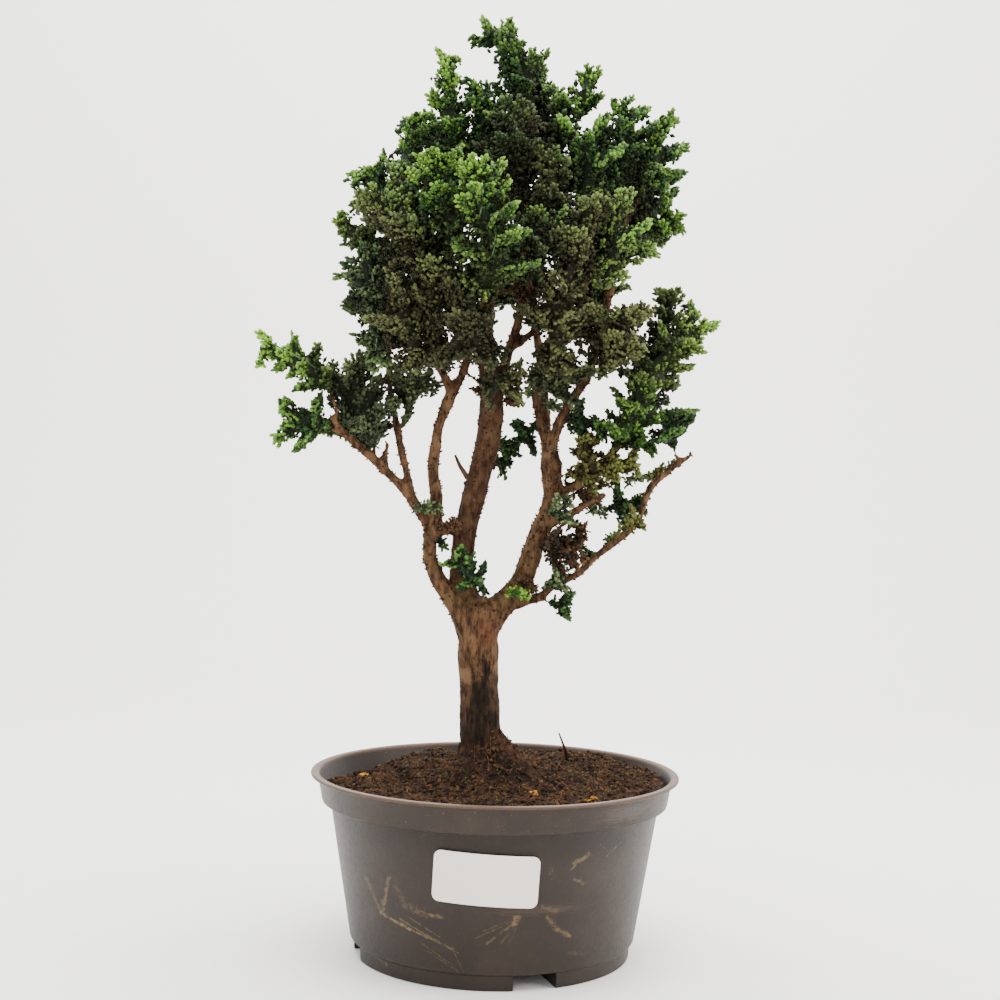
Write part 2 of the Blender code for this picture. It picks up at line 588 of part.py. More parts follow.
def soil():
    """The filling of the pot, lumpy on top, with a plain hole for the stump."""
    lumps = soil_lumps()
    top = SKIRT_FOOT_HEIGHT + WALL
    flat = math.cos(math.pi / POT_SIDES)  # the pot's inside is a prism, nearest at its flats
    low_radius = (WALL_FOOT_RADIUS - WALL) * flat - GAP
    high_radius = (WALL_TOP_RADIUS - WALL) * flat - GAP
    edge_radius = (SKIRT_FOOT_RADIUS - WALL) * flat - GAP
    bm = bmesh.new()
    sides = ((low_radius, SOIL_BASE), (high_radius, top + GAP), (edge_radius, top + GAP))
    rings = [soil_ring(bm, radius, lambda x, y: height) for radius, height in sides]
    for n in range(SOIL_RINGS):
        most = RIM_HEIGHT - SOIL_BELOW_RIM if n == 0 else math.inf
        rings.append(soil_ring(
            bm,
            edge_radius * (1 - n / SOIL_RINGS),
            lambda x, y: min(most, max(top + LEAST_SOIL, soil_height(x, y, lumps))),
        ))
    for low, high in zip(rings, rings[1:]):
        for k in range(SOIL_SIDES):
            after = (k + 1) % SOIL_SIDES
            bm.faces.new((low[k], low[after], high[after], high[k]))
    bm.faces.new(reversed(rings[0]))
    middle = bm.verts.new((0, 0, soil_height(0, 0, lumps)))
    for k in range(SOIL_SIDES):
        bm.faces.new((rings[-1][k], rings[-1][(k + 1) % SOIL_SIDES], middle))
    bmesh.ops.triangulate(bm, faces=bm.faces)
    body = mesh_object("soil", bm, material("soil_peat", (0.035, 0.02, 0.013), 0.95))
    hole = bmesh.new()
    depth = 2 * (STUMP_TOP - STUMP_FOOT)
    place = Matrix.Translation((STUMP_X, 0, STUMP_FOOT - GAP + depth / 2))
    bmesh.ops.create_cone(hole, cap_ends=True, segments=STUMP_SIDES, radius1=STUMP_RADIUS + GAP,
                          radius2=STUMP_RADIUS + GAP, depth=depth, matrix=place)
    boolean(body, [mesh_object("hole", hole)], "DIFFERENCE")
    keep_largest_shell(body)
    return body


def limb_run(places, rng):
    """The limb's smooth run, with its bark's swellings."""
    placed = [(*seen(place), place[3]) for place in places]
    run = curve_through(placed, LIMB_STEP)
    for place in run[1:-1]:
        place[3] *= 1 + rng.uniform(-BARK_SWELL, BARK_SWELL)
    return run


def heading_of(line):
    """The way that a spray sets out from its twig."""
    return (seen(line[2]) - seen(line[1])).normalized()


def twig(line):
    """The twig that carries a spray: it leaves the limb and ends where the stem begins."""
    root, end = seen(line[0]), seen(line[1])
    heading = heading_of(line)
    bend = (end - root).length * TWIG_BEND
    middle = (root + end - heading * bend) / 2
    places = (
        (*root, TWIG_ROOT_RADIUS),
        (*middle, (TWIG_ROOT_RADIUS + TWIG_TIP_RADIUS) / 2),
        (*end, TWIG_TIP_RADIUS),
    )
    return tube(curve_through(places, TWIG_STEP), TWIG_SIDES, last_heading=heading)


def wood():
    """Stump, trunk, limbs and twigs, fused into one solid."""
    rng = random.Random(11)
    stump = bmesh.new()
    place = Matrix.Translation((STUMP_X, 0, (STUMP_FOOT + STUMP_TOP) / 2))
    bmesh.ops.create_cone(stump, cap_ends=True, segments=STUMP_SIDES, radius1=STUMP_RADIUS,
                          radius2=STUMP_RADIUS, depth=STUMP_TOP - STUMP_FOOT, matrix=place)
    body = mesh_object("wood", stump, material("bark", (0.17, 0.09, 0.055), 0.85))
    pieces = []
    for name, places in LIMBS.items():
        sides = LIMB_SIDES if max(place[3] for place in places) > THICK_LIMB else BRANCH_SIDES
        if name == "trunk":
            places = ((*places[0][:2], STUMP_TOP - 6, places[0][3] - 0.4), *places[1:])
            sides = TRUNK_SIDES
        pieces.append(mesh_object(name, tube(limb_run(places, rng), sides)))
    for name, (_, _, line) in SPRAYS.items():
        pieces.append(mesh_object(name + "_twig", twig(line)))
    boolean(body, pieces, "UNION")
    keep_largest_shell(body)
    return body


def blade_places(corners, ahead, side, reach, rng):
    """The rim, upper and lower middle of a plump blade with a cut edge, grown from a face of
    the core: lobes round a palm, thick in the middle."""
    root = sum(corners, Vector()) / 4
    up = side.cross(ahead).normalized()
    width = reach * rng.uniform(*BLADE_WIDTH)
    lobes = 3 + (reach > SMALL_BLADE) + (reach > LARGE_BLADE)
    palm = root + ahead * reach * PALM_AT
    curl = rng.uniform(*BLADE_CURL) * reach
    spread = math.radians(LOBE_TURN)
    rim = []
    for k in range(2 * lobes - 1):
        turn = -spread + 2 * spread * k / (2 * lobes - 2)
        share = rng.uniform(*LOBE_SHARE) if k % 2 == 0 else VALLEY_SHARE
        place = palm + side * width / 2 * share * math.sin(turn)
        place += ahead * reach / 2 * share * math.cos(turn)
        out = (place - root).length / reach
        rim.append(place + up * curl * out * out)
    half = BLADE_THICKNESS * (0.6 + 0.4 * reach / SMALL_BLADE) / 2
    middle = palm + up * curl * PALM_AT**2
    return rim, middle + up * half, middle - up * half


def blade_faces(corners, rim, upper, lower):
    """The triangles, as corner triples, of a blade whose root is the face with these corners:
    the low pair and then the high pair, each from left to right."""
    low_left, low_right, high_left, high_right = corners
    triples = []
    for one, two in zip(rim, rim[1:]):
        triples += [(upper, one, two), (lower, two, one)]
    triples += [(upper, high_left, rim[0]), (upper, high_right, high_left)]
    triples += [(upper, rim[-1], high_right), (lower, rim[0], low_left)]
    triples += [(lower, low_left, low_right), (lower, low_right, rim[-1])]
    triples += [(low_left, rim[0], high_left), (low_right, high_right, rim[-1])]
    return triples


def grow_blade(bm, face, along, lean, reach, rng, trees, placed):
    """Raises a blade from a face of the core, if it is clear of everything there. Returns how
    many triangles it adds."""
    normal = face.normal.copy()
    across = normal.cross(along).normalized()
    ends = sorted(face.verts, key=lambda vert: vert.co.dot(along))
    low = sorted(ends[:2], key=lambda vert: vert.co.dot(across))
    high = sorted(ends[2:], key=lambda vert: vert.co.dot(across))
    corners = low + high
    ahead = (along * math.cos(lean) + normal * math.sin(lean)).normalized()
    side = (across - ahead * across.dot(ahead)).normalized()
    side = Matrix.Rotation(rng.uniform(-BLADE_ROLL, BLADE_ROLL), 3, ahead) @ side
    places = [vert.co.copy() for vert in corners]
    rim, upper, lower = blade_places(places, ahead, side, reach, rng)
    trial = bmesh.new()
    verts = {id(place): trial.verts.new(place) for place in [*places, *rim, upper, lower]}
    for triple in blade_faces(places, rim, upper, lower):
        trial.faces.new([verts[id(place)] for place in triple])
    bmesh.ops.recalc_face_normals(trial, faces=trial.faces)
    outer = outer_tree(trial, sum(places, Vector()) / 4 + ahead * reach)
    is_clear = clear_of(trial, trees) and not any(outer.overlap(other) for other in placed)
    trial.free()
    if not is_clear:
        return 0
    placed.append(outer)
    made = {id(place): vert for place, vert in zip(places, corners)}
    for place in [*rim, upper, lower]:
        made[id(place)] = bm.verts.new(place)
    bm.faces.remove(face)
    triples = blade_faces(places, rim, upper, lower)
    for triple in triples:
        bm.faces.new([made[id(place)] for place in triple])
    return len(triples) - 2


def outer_tree(bm, tip):
    """The search tree of the part of a blade that stands clear of the core."""
    shrunk = bm.copy()
    share = (SHARE_KEPT_CLEAR,) * 3
    bmesh.ops.scale(shrunk, vec=share, space=Matrix.Translation(-tip), verts=shrunk.verts)
    found = BVHTree.FromBMesh(shrunk)
    shrunk.free()
    return found


def clear_of(bm, trees, clearance=CLEARANCE):
    """Whether the shape stays that far out of all the finished solids."""
    own = BVHTree.FromBMesh(bm)
    probes = [vert.co for vert in bm.verts]
    probes += [edge.verts[0].co.lerp(edge.verts[1].co, 0.5) for edge in bm.edges]
    for other in trees:
        if own.overlap(other):
            return False
        for probe in probes:
            place, normal, _, distance = other.find_nearest(probe, NEAR)
            if place is None:
                continue
            if distance < clearance or (probe - place).dot(normal) < 0:
                return False
    return True


def core_step(spread):
    return min(MOST_CORE_STEP, max(LEAST_CORE_STEP, CORE_STEP_SHARE * spread))


def line_run(line, step):
    """Points on a spray's line, from the start of its stem to its tip."""
    heading = heading_of(line)
    start = seen(line[1]) + heading * GAP
    places = [start, start + heading * STEM_LENGTH] + [seen(place) for place in line[2:]]
    return curve_through([tuple(place) for place in places], step)


def guard_tree(name):
    """The search tree of the room kept free for a spray that isn't made yet."""
    _, spread, line = SPRAYS[name]
    run = [[*place, GUARD_SHARE * spread] for place in line_run(line, GUARD_STEP)]
    run[0][3] = TWIG_TIP_RADIUS
    return BVHTree.FromBMesh(tube(run, SPRAY_SIDES))


def core_run(line, spread, trees, rng):
    """The spray's own run: a short stem, then a lumpy core that narrows to its tip and to any
    finished solid beside it."""
    run = line_run(line, core_step(spread))
    last = len(run) - 1
    for i, place in enumerate(run):
        share = i / last
        radius = spread * (DENSE_CORE_SHARE if spread >= DENSE_SPREAD else CORE_SHARE)
        radius *= (1 - CORE_TAPER * share) * rng.uniform(1 - CORE_UNEVEN, 1 + CORE_UNEVEN)
        for other in trees:
            distance = other.find_nearest(Vector(place))[3]
            radius = min(radius, max(LEAST_CORE, distance - CORE_MARGIN))
        if i == 0:
            radius = TWIG_TIP_RADIUS
        if i == last:
            radius = CORE_TIP
        place.append(radius)
    return run


def spray_core(line, spread, trees, rng):
    """The core's run and solid, shrunk until it is clear of the finished solids."""
    run = core_run(line, spread, trees, rng)
    bm = tube(run, SPRAY_SIDES, heading_of(line))
    for _ in range(CORE_TRIES):
        if clear_of(bm, trees, GAP / 2):
            break
        bm.free()
        for place in run[1:]:
            place[3] *= CORE_SHRINK
        bm = tube(run, SPRAY_SIDES, heading_of(line))
    bm.normal_update()
    return run, bm


class Spray:
    """A spray in the making: a core with a stem, whose sides are raised into blades."""

    def __init__(self, name, trees):
        self.name = name
        self.tone, self.spread, line = SPRAYS[name]
        self.rng = random.Random(name)
        run, self.bm = spray_core(line, self.spread, trees, self.rng)
        self.points = [Vector(place[:3]) for place in run]
        self.placed = [self.tree()]
        self.jobs = self.blade_jobs()

    def tree(self):
        return BVHTree.FromBMesh(self.bm)

    def blade_jobs(self):
        """Pairs of ring and side to raise a blade from: every ring has its first before any has
        its second, and the ring at the tip has one more."""
        last = len(self.points) - 1
        sides = [face for face in self.bm.faces if len(face.verts) == 4]
        most = MORE_BLADES_A_RING if self.spread >= DENSE_SPREAD else BLADES_A_RING
        starts = [self.rng.randrange(SPRAY_SIDES) for _ in range(last)]
        jobs = []
        for n, side in enumerate(BLADE_ORDER[: most + 1]):
            for i in range(1 if n < most else last - 1, last):
                turn = (starts[i] + side) % SPRAY_SIDES
                jobs.append((i, sides[i * SPRAY_SIDES + turn]))
        return jobs

    def grow(self, trees):
        """Tries the next blade, each time shorter and nearer to the core. Returns how many
        triangles it adds."""
        i, face = self.jobs.pop(0)
        share = (i - 0.5) / (len(self.points) - 1)
        along = (self.points[i + 1] - self.points[i]).normalized()
        full = min(MOST_REACH, self.spread * (ROOT_REACH + (TIP_REACH - ROOT_REACH) * share))
        for attempt in range(BLADE_TRIES):
            lean = ROOT_LEAN + (TIP_LEAN - ROOT_LEAN) * share - LOWER_A_TRY * attempt
            lean = math.radians(lean + self.rng.uniform(-LEAN_UNEVEN, LEAN_UNEVEN))
            reach = full * (1 - SHORTER_A_TRY * attempt)
            added = grow_blade(self.bm, face, along, lean, reach, self.rng, trees, self.placed)
            if added:
                return added
        return 0

    def finish(self):
        bmesh.ops.recalc_face_normals(self.bm, faces=self.bm.faces)
        finish = material("foliage_" + self.tone, TONES[self.tone], 0.6)
        return mesh_object("spray_" + self.name, self.bm, finish)


def finished_tree(made):
    """The search tree of a finished solid, in millimetres."""
    bm = bmesh.new()
    bm.from_mesh(made.data)
    bmesh.ops.scale(bm, vec=(1 / MM, 1 / MM, 1 / MM), verts=bm.verts)
    found = BVHTree.FromBMesh(bm)
    bm.free()
    return found


def foliage(trees, triangles):
    """The sprays. Their cores come first, each with room kept for those to come, and then
    their blades in turn, so that neighbours share the room between them."""
    trees |= {name: guard_tree(name) for name in SPRAYS}
    sprays = []
    for name in SPRAYS:
        del trees[name]
        sprays.append(Spray(name, list(trees.values())))
        trees[name] = sprays[-1].tree()
        triangles += len(sprays[-1].bm.calc_loop_triangles())
    shares = [(k / len(s.jobs), n) for n, s in enumerate(sprays) for k in range(len(s.jobs))]
    for _, n in sorted(shares):
        spray = sprays[n]
        others = [tree for name, tree in trees.items() if name != spray.name]
        added = spray.grow(others) if triangles < MOST_TRIANGLES else 0
        if added:
            triangles += added
            trees[spray.name] = spray.tree()
    for spray in sprays:
        spray.finish()


def main():
    clear_scene()
    trees = {}
    triangles = 0
    for made in (pot(), label(), soil(), wood()):
        trees[made.name] = finished_tree(made)
        triangles += len(made.data.loop_triangles) or len(made.data.polygons)
    foliage(trees, triangles)


main()
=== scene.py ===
"""Looks of the hinoki cypress bonsai: lobed foliage, bark, peat, dusty pot and blank label.

The frame gives every solid in metres. Sizes and places below are in millimetres, and are turned
into metres where a mesh is made.
"""

import heapq
import json
import math
import random

import bmesh
import bpy
import numpy as np
from mathutils import Matrix, Vector, noise
from mathutils.bvhtree import BVHTree


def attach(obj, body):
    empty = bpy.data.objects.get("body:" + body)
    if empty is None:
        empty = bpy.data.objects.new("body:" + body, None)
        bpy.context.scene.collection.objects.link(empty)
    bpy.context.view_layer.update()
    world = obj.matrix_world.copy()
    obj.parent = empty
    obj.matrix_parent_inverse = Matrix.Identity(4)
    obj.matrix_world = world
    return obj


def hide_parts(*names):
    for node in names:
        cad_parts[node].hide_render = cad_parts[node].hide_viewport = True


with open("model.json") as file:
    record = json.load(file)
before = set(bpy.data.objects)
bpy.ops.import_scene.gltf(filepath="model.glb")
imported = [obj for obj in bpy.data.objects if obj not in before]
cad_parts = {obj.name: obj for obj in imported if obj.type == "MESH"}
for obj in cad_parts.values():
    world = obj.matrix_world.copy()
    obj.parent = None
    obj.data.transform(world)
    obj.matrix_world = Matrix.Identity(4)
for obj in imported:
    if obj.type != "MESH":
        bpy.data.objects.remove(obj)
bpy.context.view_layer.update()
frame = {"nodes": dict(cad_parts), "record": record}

MM = 0.001  # metres
NODE_WELD = 0.02  # points of a solid nearer than this are one

# The camera, as fitted to the pot's rim and foot, with its turns in radians.
CAMERA_PLACE = (0.4, -800, 233)
CAMERA_DOWN = 0.003
CAMERA_YAW = 0.0011
CAMERA_ROLL = 0.0216
CAMERA_LENS = 56.07
CAMERA_SENSOR = 36

# The pot: the same sizes as its solid's.
POT_STEPS = 144
SHARP = math.radians(35)  # edges that stay sharp on the pot and the label
RIM_RADIUS = 94
RIM_HEIGHT = 91.5
LIP_THICKNESS = 1.5
LIP_INNER_RADIUS = 90
SKIRT_TOP_RADIUS = 90.5
SKIRT_FOOT_RADIUS = 88.3
SKIRT_FOOT_HEIGHT = 77
WALL_TOP_RADIUS = 84
WALL_FOOT_RADIUS = 72.4
FOOT_HEIGHT = 8
FOOT_RADIUS = 70.2
WALL = 1.8
FLOOR = 2
CHANNEL_WIDTH = 21.5
CHANNEL_START = 32  # from the pot's axis
CHANNEL_ROUND = 1.2
CHANNEL_TURNS = (17.5, 107.5, 197.5, 283.5)  # degrees from the front of the pot
DRAIN_RADIUS = 4
DRAIN_FROM_AXIS = 45
DRAIN_DEPTH = 12

LABEL_SIZE = (50, 25)
LABEL_CORNER = 3.5
LABEL_MIDDLE = (-3.3, 54.8)  # aside and up, from in front
LABEL_TILT = 2.8  # degrees
LABEL_LIFT = (0.15, 0.6)  # its back and its front, off the wall
LABEL_STRIPS = 32
CORNER_STEPS = 6

# Small tufts on the limbs: from and to as x and z, then y, half width, sprigs and tone.
TUFTS = (
    ((-90.2, 267), (-77.9, 263.7), -4, 3.5, 38, "grey"),
    ((-77.9, 263.7), (-66.4, 255.8), -4, 3.2, 34, "grey"),
    ((-83.3, 269.8), (-71.9, 264.9), -2, 3.5, 22, "olive"),
    ((-42.3, 226.2), (-30.1, 225), -14, 2.2, 14, "grey"),
    ((-32.5, 209.8), (-28.8, 207.3), 2, 1.6, 8, "deep"),
    ((-29.6, 216.3), (-23, 218), -10, 2, 14, "dead"),
    ((34.8, 277), (42.4, 264.7), 8, 5, 36, "deep"),
    ((40.1, 262.4), (43.5, 251.2), 4, 2.2, 16, "olive"),
    ((33.3, 238.5), (57, 241.1), 2, 2.2, 22, "olive"),
    ((39.4, 235.6), (49.7, 233.2), -2, 3.2, 24, "dead"),
    ((43.6, 228.5), (52.9, 226.6), -2, 2.6, 16, "grey"),
    ((64, 241.2), (77.3, 243.6), 0, 2.2, 16, "grey"),
    ((77.3, 243.6), (89, 251), 0, 2.6, 22, "olive"),
    ((33.3, 221.2), (44.6, 216.3), -8, 2.6, 22, "dead"),
    ((40.7, 208.3), (47.5, 200.7), 2, 2.6, 14, "deep"),
    ((30.1, 196.3), (34.7, 195.9), 0, 1.2, 5, "deep"),
    ((6.1, 184.3), (12.7, 183.5), -14, 2.2, 14, "fresh"),
    ((11.1, 188.9), (18.7, 185.5), -12, 2.2, 16, "dead"),
    ((53.4, 209.7), (59.5, 212.9), 0, 1, 7, "green"),
    ((-13.9, 286.3), (-6.7, 283.4), -8, 2.4, 16, "dead"),
    ((0.4, 282.8), (9.7, 280.9), -4, 2.4, 16, "dead"),
    ((5.9, 339.1), (16.7, 334.2), -4, 4, 34, "dead"),
    ((-16.5, 311.6), (-9.2, 304.7), -8, 3.2, 24, "dead"),
    ((-8.8, 290), (8.4, 287.4), -14, 2.6, 26, "olive"),
    ((21.9, 279.9), (29, 278), -8, 2, 12, "grey"),
)
# Stems: radius and line.
TWIGS = (
    (1.6, ((-17.1, -2, 241.5), (-21.3, -2, 247.6), (-24, -2, 253.2))),
    (0.7, ((36.6, -10, 207.1), (40.5, -10, 212.2), (43.5, -10, 216.9))),
    (0.8, ((30.3, 0, 231.3), (39.5, 0, 235.6), (50.7, 0, 239.9))),
    (0.8, ((33.3, 4, 242.7), (42.5, 4, 247), (53.8, 4, 251.4))),
    (0.6, ((42.1, 4, 264.5), (41.3, 4, 256.3), (38.4, 4, 246.9))),
)
RIBS = (
    (0.5, ((-93.4, -25.1, 294.3), (-101.2, -26, 299), (-108.9, -25.8, 302.9), (-116.1, -27, 306))),
    (0.6, ((-66.1, -30, 342), (-64.3, -30.2, 328.2), (-62.5, -31, 314), (-63.5, -31, 303))),
    (0.45, ((-11.4, -75.6, 374.7), (-12.3, -68, 366.3), (-15.6, -56, 357), (-17.8, -54.5, 346.4))),
    (0.4, ((-5, -66.2, 356.9), (-5.8, -66, 348.4), (-10.4, -54, 338.1))),
)
SOIL_TWIGS = (
    (1.1, ((39, 36, 90), (37.5, 34, 97), (36, 32, 101), (33.6, 30, 107))),
    (0.4, ((-40, -30, 92.5), (-34, -34, 94), (-28, -35, 92.5))),
    (0.35, ((62, 20, 91), (66, 14, 92.5), (70, 10, 92))),
)
FALLEN_LEAVES = ((-67, 2), (20, -50), (46, -62))

# Marks on the front of the pot: from, to, half width and strength, seen from in front.
STREAKS = (
    ((-60.9, 47.4), (-52.8, 31.6), 1.3, 0.28),
    ((-49.5, 50), (-52.6, 32), 1.4, 0.45),
    ((-53.2, 32), (-38.7, 27.3), 1, 0.75),
    ((-38.7, 27.3), (-23.9, 22.7), 0.7, 0.6),
    ((-23.9, 22.7), (-15.4, 18.6), 0.4, 0.4),
    ((-43.7, 31.4), (-17.8, 20.3), 0.6, 0.4),
    ((-44.5, 29.5), (-30, 24), 0.4, 0.35),
    ((-40, 33.5), (-24, 25.5), 0.4, 0.3),
    ((-34, 22), (-18, 12.5), 0.35, 0.22),
    ((-30, 18), (-15, 9.5), 0.35, 0.25),
    ((-17.8, 20.3), (-12.8, 9.4), 0.35, 0.22),
    ((-46, 46), (-40, 38.5), 2.4, 0.16),
    ((-41, 38.5), (-31, 35.8), 2.6, 0.22),
    ((-34, 37), (-22.9, 35), 1.1, 0.5),
    ((11.6, 36.3), (10.2, 33.4), 2, 0.5),
    ((10.6, 34.5), (-2.3, 23.8), 0.8, 0.3),
    ((10, 35.5), (-7, 26.6), 0.6, 0.2),
    ((9, 36), (-4, 30), 0.5, 0.15),
    ((11, 33), (3.7, 23.4), 0.7, 0.2),
    ((12.5, 34), (8, 24), 0.5, 0.15),
    ((26, 36), (31.5, 29.5), 1.6, 0.35),
    ((31, 29.5), (37, 25.8), 1.3, 0.5),
    ((24, 41.5), (30, 39.5), 1.4, 0.2),
    ((38, 61.5), (45, 64.8), 1.4, 0.45),
    ((36, 58), (39, 61), 0.8, 0.45),
    ((38.5, 53.5), (42.5, 51.6), 1.2, 0.35),
    ((26.5, 57.5), (28, 60), 1, 0.3),
    ((50.5, 69.5), (53, 66.5), 0.5, 0.4),
    ((53.5, 62.5), (61, 68.5), 0.45, 0.45),
    ((-58.6, 8.6), (-50.4, 5.4), 1.2, 0.3),
    ((36, 17.5), (44, 15.5), 1.2, 0.15),
)
SCUFFS = (  # middle, half sizes, strength and colour
    ((62, 84), (14, 5), 0.16, (112, 98, 86)),
    ((64.5, 84.5), (7.5, 2.6), 0.6, (52, 47, 48)),
    ((20, 40), (26, 3), 0.08, (120, 100, 78)),
)

# Soil
SOIL_GRID = ((64, 200), (30, 90))  # rings and turns of its top, in full and quick
SOIL_FROM_WALL = 0.4
SOIL_EDGE = 5  # how far its top goes down at the wall
SOIL_SKY = 150  # above all of the soil
SOIL_REACH = 82.5  # where the solid's top still lies under every side of it
SOIL_LEAST = 75  # what lies lower is the bottom of the stump's hole
SOIL_BRIDGE = 104  # the height of the soil over that hole
SOIL_GRAIN, SOIL_ROUGH = 5.5, 1.4  # width and height
SOIL_LUMP, SOIL_LUMPY = 13, 1.6
SOIL_FRACTAL = (0.7, 2.1, 4)  # how rough, how much finer each step, and steps
HEAPS = (  # x, y, radius, rise, and a power that makes the heap's top sharp or broad
    (2.5, -5, 22, 10, 1),
    (-38, 40, 26, 11, 0.5),
    (45, 52, 22, 4, 0.5),
    (-60, 5, 15, 2.5, 0.6),
)
STUMP_X = -7
STUMP_CLEAR = 12.5  # no crumbs nearer to the stump's middle
CLUMP_SIZE = 7
CLUMP_LEAST = 0.28  # how thick the noise has to be for moss
FIBRE_STEPS = 6
FIBRE_REACH = 84
LEAF_LOBES = 5

# Wood
WOOD_VOXEL = (1.25, 2.2)  # in full and quick
WOOD_ROUNDINGS = 5
BARK_GRAIN = 4.5
BARK_SWELL = 11
BARK_FRACTAL = (0.8, 2.1, 4)
BARK_OUT = 0.22  # makes up for what the rounding takes off
TRUNK_TOP = 195
TRUNK_FADE = 60
SCALES = (3600, 800)  # in full and quick
STEM_SIDES = 5
STEM_THINS = 0.6  # of its radius, to its end

# Foliage
STEM_POINTS = 6  # points nearest to the wood, which a spray's lobes grow away from
SPRAY_LEAST = 12  # sprigs on the smallest spray
SPRIG_AREA = 17  # square millimetres of a spray's surface for each sprig
SPRIG_TRIES = 4  # places tried for each sprig
SPRIG_APART = 0.8  # of the area that each has
SIDES_APART = 3  # keeps the two sides of a blade from clearing each other
SPRIG = (  # ahead, aside, turn in degrees and size of each lobe of a sprig
    (0, 0, 0, 0.9),
    (1.5, 0.9, 38, 0.85),
    (1.6, -0.9, -38, 0.85),
    (2.5, 0, 0, 1),
    (3.3, 1.5, 46, 0.95),
    (3.4, -1.5, -46, 0.95),
    (4.4, 0.1, 0, 1.1),
)
KEPT_DARK, KEPT_LIGHT = 0.1, 2  # share of sprigs kept with no light, and added by light
SPRIG_BACK = 2.6  # how far behind its place a sprig starts
SPRIG_SUNK = 0.7
SPRIG_LIFT = (8, 48)  # degrees
SPRIG_ROLL = 40  # degrees
SPRIG_SIZE = (0.85, 1.2)
LOBE_RADIUS = 0.92
LOBE_LENGTH = 1.5
LOBE_JITTER = 0.28
LOBE_TURN = 9  # degrees
LOBE_SIZE = (0.88, 1.12)
LOBE_LIGHT = (0.52, 0.68)  # of a lobe's colour at its foot, and what is added to its end
TUFT_SEED = 700  # of the random draws of the first tuft
TUFT_LOBES = (0.8, 1.35, 0.7)  # radius, length and how flat
SKIN_STEPS = 2
SKIN_SHARES = (0.45, 0.55)  # of a point and of its neighbours' middle
SKIN_LIGHT = 0.8  # of the shade colour, painted on the skin as shade between the lobes
COVER_TRIES = 2
COVER_APART = 2.7  # between the single lobes that cover a spray's solid
COVER_BUDS = ((0.75, 1.1), 1.7, (0.05, 0.5))  # widths, length by width, and light and freshness, kept low as painted shade
# The gap lobes' light and freshness is kept low too, as painted shade.
GAP_BUDS = ((1, 1.5), 1.8, (0, 0.42))
GAP_LIGHT = 0.7  # places with less light than this get lobes that fill the gap
GAP_FOOT = 300  # no gap is filled under this height
GAP_REACH = 10
GAP_JITTER = 1.2
GAP_RAYS = 9
GAP_WIDTH = 19
GAP_NEAR = 4.5
GAP_SIDES = 4  # more rays than these must meet foliage
OPEN_RAYS = 9
OPEN_REACH = 70
OPEN_START = 1.5  # off the surface
OPEN_OUTWARD = 1.05  # how much the rays lean outwards
OPEN_WEIGHTS = (0.6, 0.4)  # of a level ray, and what is added for one that goes up

# A lobe's light and freshness goes from 0 in painted shade to 1 at a tip: partly painted light, partly
# fresher growth.
LIT_AND_FRESH_WEIGHTS = (0.72, 0.34, 0.16, 0.3, 0.1)  # light, along the spray, the sprig, patch, upward; the light and upward parts are painted light and shade
LIT_AND_FRESH_LESS = 0.14
LIT_AND_FRESH_SPREAD = 0.08
FRESH_PATCH = 14
SHADED = {  # painted shade taken from the light and freshness of a spray's lobes, and painted light where below 0
    "spray_bronze_centre": 0.3,
    "spray_crotch_tuft": 0.22,
    "spray_hanging_tuft": 0.3,
    "spray_dead_clump": 0.2,
    "spray_right_low_front": -0.12,
    "spray_right_front_outer": -0.4,
    "spray_far_left_upper": -0.08,
    "spray_centre_top_front": 0.3,
}
CROWN_SHARE = 0.6  # of the colours that all of the crown has in common
CROWN_MIDDLE = 4  # in x
CROWN_WIDE = 85
CROWN_DEEP = 75
CROWN_FOOT = 270
CROWN_REACH = 110  # the fronds further out keep their own colours
CROWN_GREEN = 345  # the height at which it starts to turn green
CROWN_PATCHES = 1.1
CROWN_PATCH_SIZE = 26
CROWN_PATCH_SHIFT = (7, 3, 11)

# Colours of the foliage in light: painted shade, full grown and at the tips.
TONES = {
    "fresh": ((20, 30, 12), (56, 88, 34), (122, 162, 54)),
    "green": ((14, 23, 11), (40, 67, 33), (98, 136, 50)),
    "deep": ((11, 18, 9), (28, 50, 25), (70, 104, 44)),
    "blue": ((14, 26, 16), (37, 67, 45), (82, 122, 68)),
    "grey": ((20, 24, 15), (52, 62, 40), (96, 112, 70)),
    "olive": ((30, 23, 11), (70, 63, 29), (94, 104, 48)),
    "bronze": ((25, 24, 15), (60, 61, 37), (92, 100, 56)),
    "dead": ((20, 12, 8), (50, 33, 21), (88, 61, 39)),
}


def srgb(red, green, blue):
    """The linear colour of 0 to 255 screen values."""
    return tuple(
        v / 12.92 if v <= 0.04045 else ((v + 0.055) / 1.055) ** 2.4
        for v in (red / 255, green / 255, blue / 255)
    )


class Signal:
    """A socket in a material, whose arithmetic adds the nodes for it."""

    def __init__(self, surface, socket):
        self.surface = surface
        self.socket = socket

    def math(self, operation, *others):
        return self.surface.add("ShaderNodeMath", [self, *others], operation=operation)

    def __add__(self, other):
        return self.math("ADD", other)

    __radd__ = __add__

    def __sub__(self, other):
        return self.math("SUBTRACT", other)

    def __rsub__(self, other):
        return self.surface.add("ShaderNodeMath", [other, self], operation="SUBTRACT")

    def __mul__(self, other):
        return self.math("MULTIPLY", other)

    __rmul__ = __mul__

    def ramp(self, low, high):
        """0 below low and 1 above high, smooth between them."""
        return self.surface.add(
            "ShaderNodeMapRange", [self, low, high], interpolation_type="SMOOTHSTEP"
        )

    def near(self, middle, full, out):
        """1 within the full distance of the middle, and 0 from the outer distance on."""
        return (self - middle).math("ABSOLUTE").ramp(out, full)


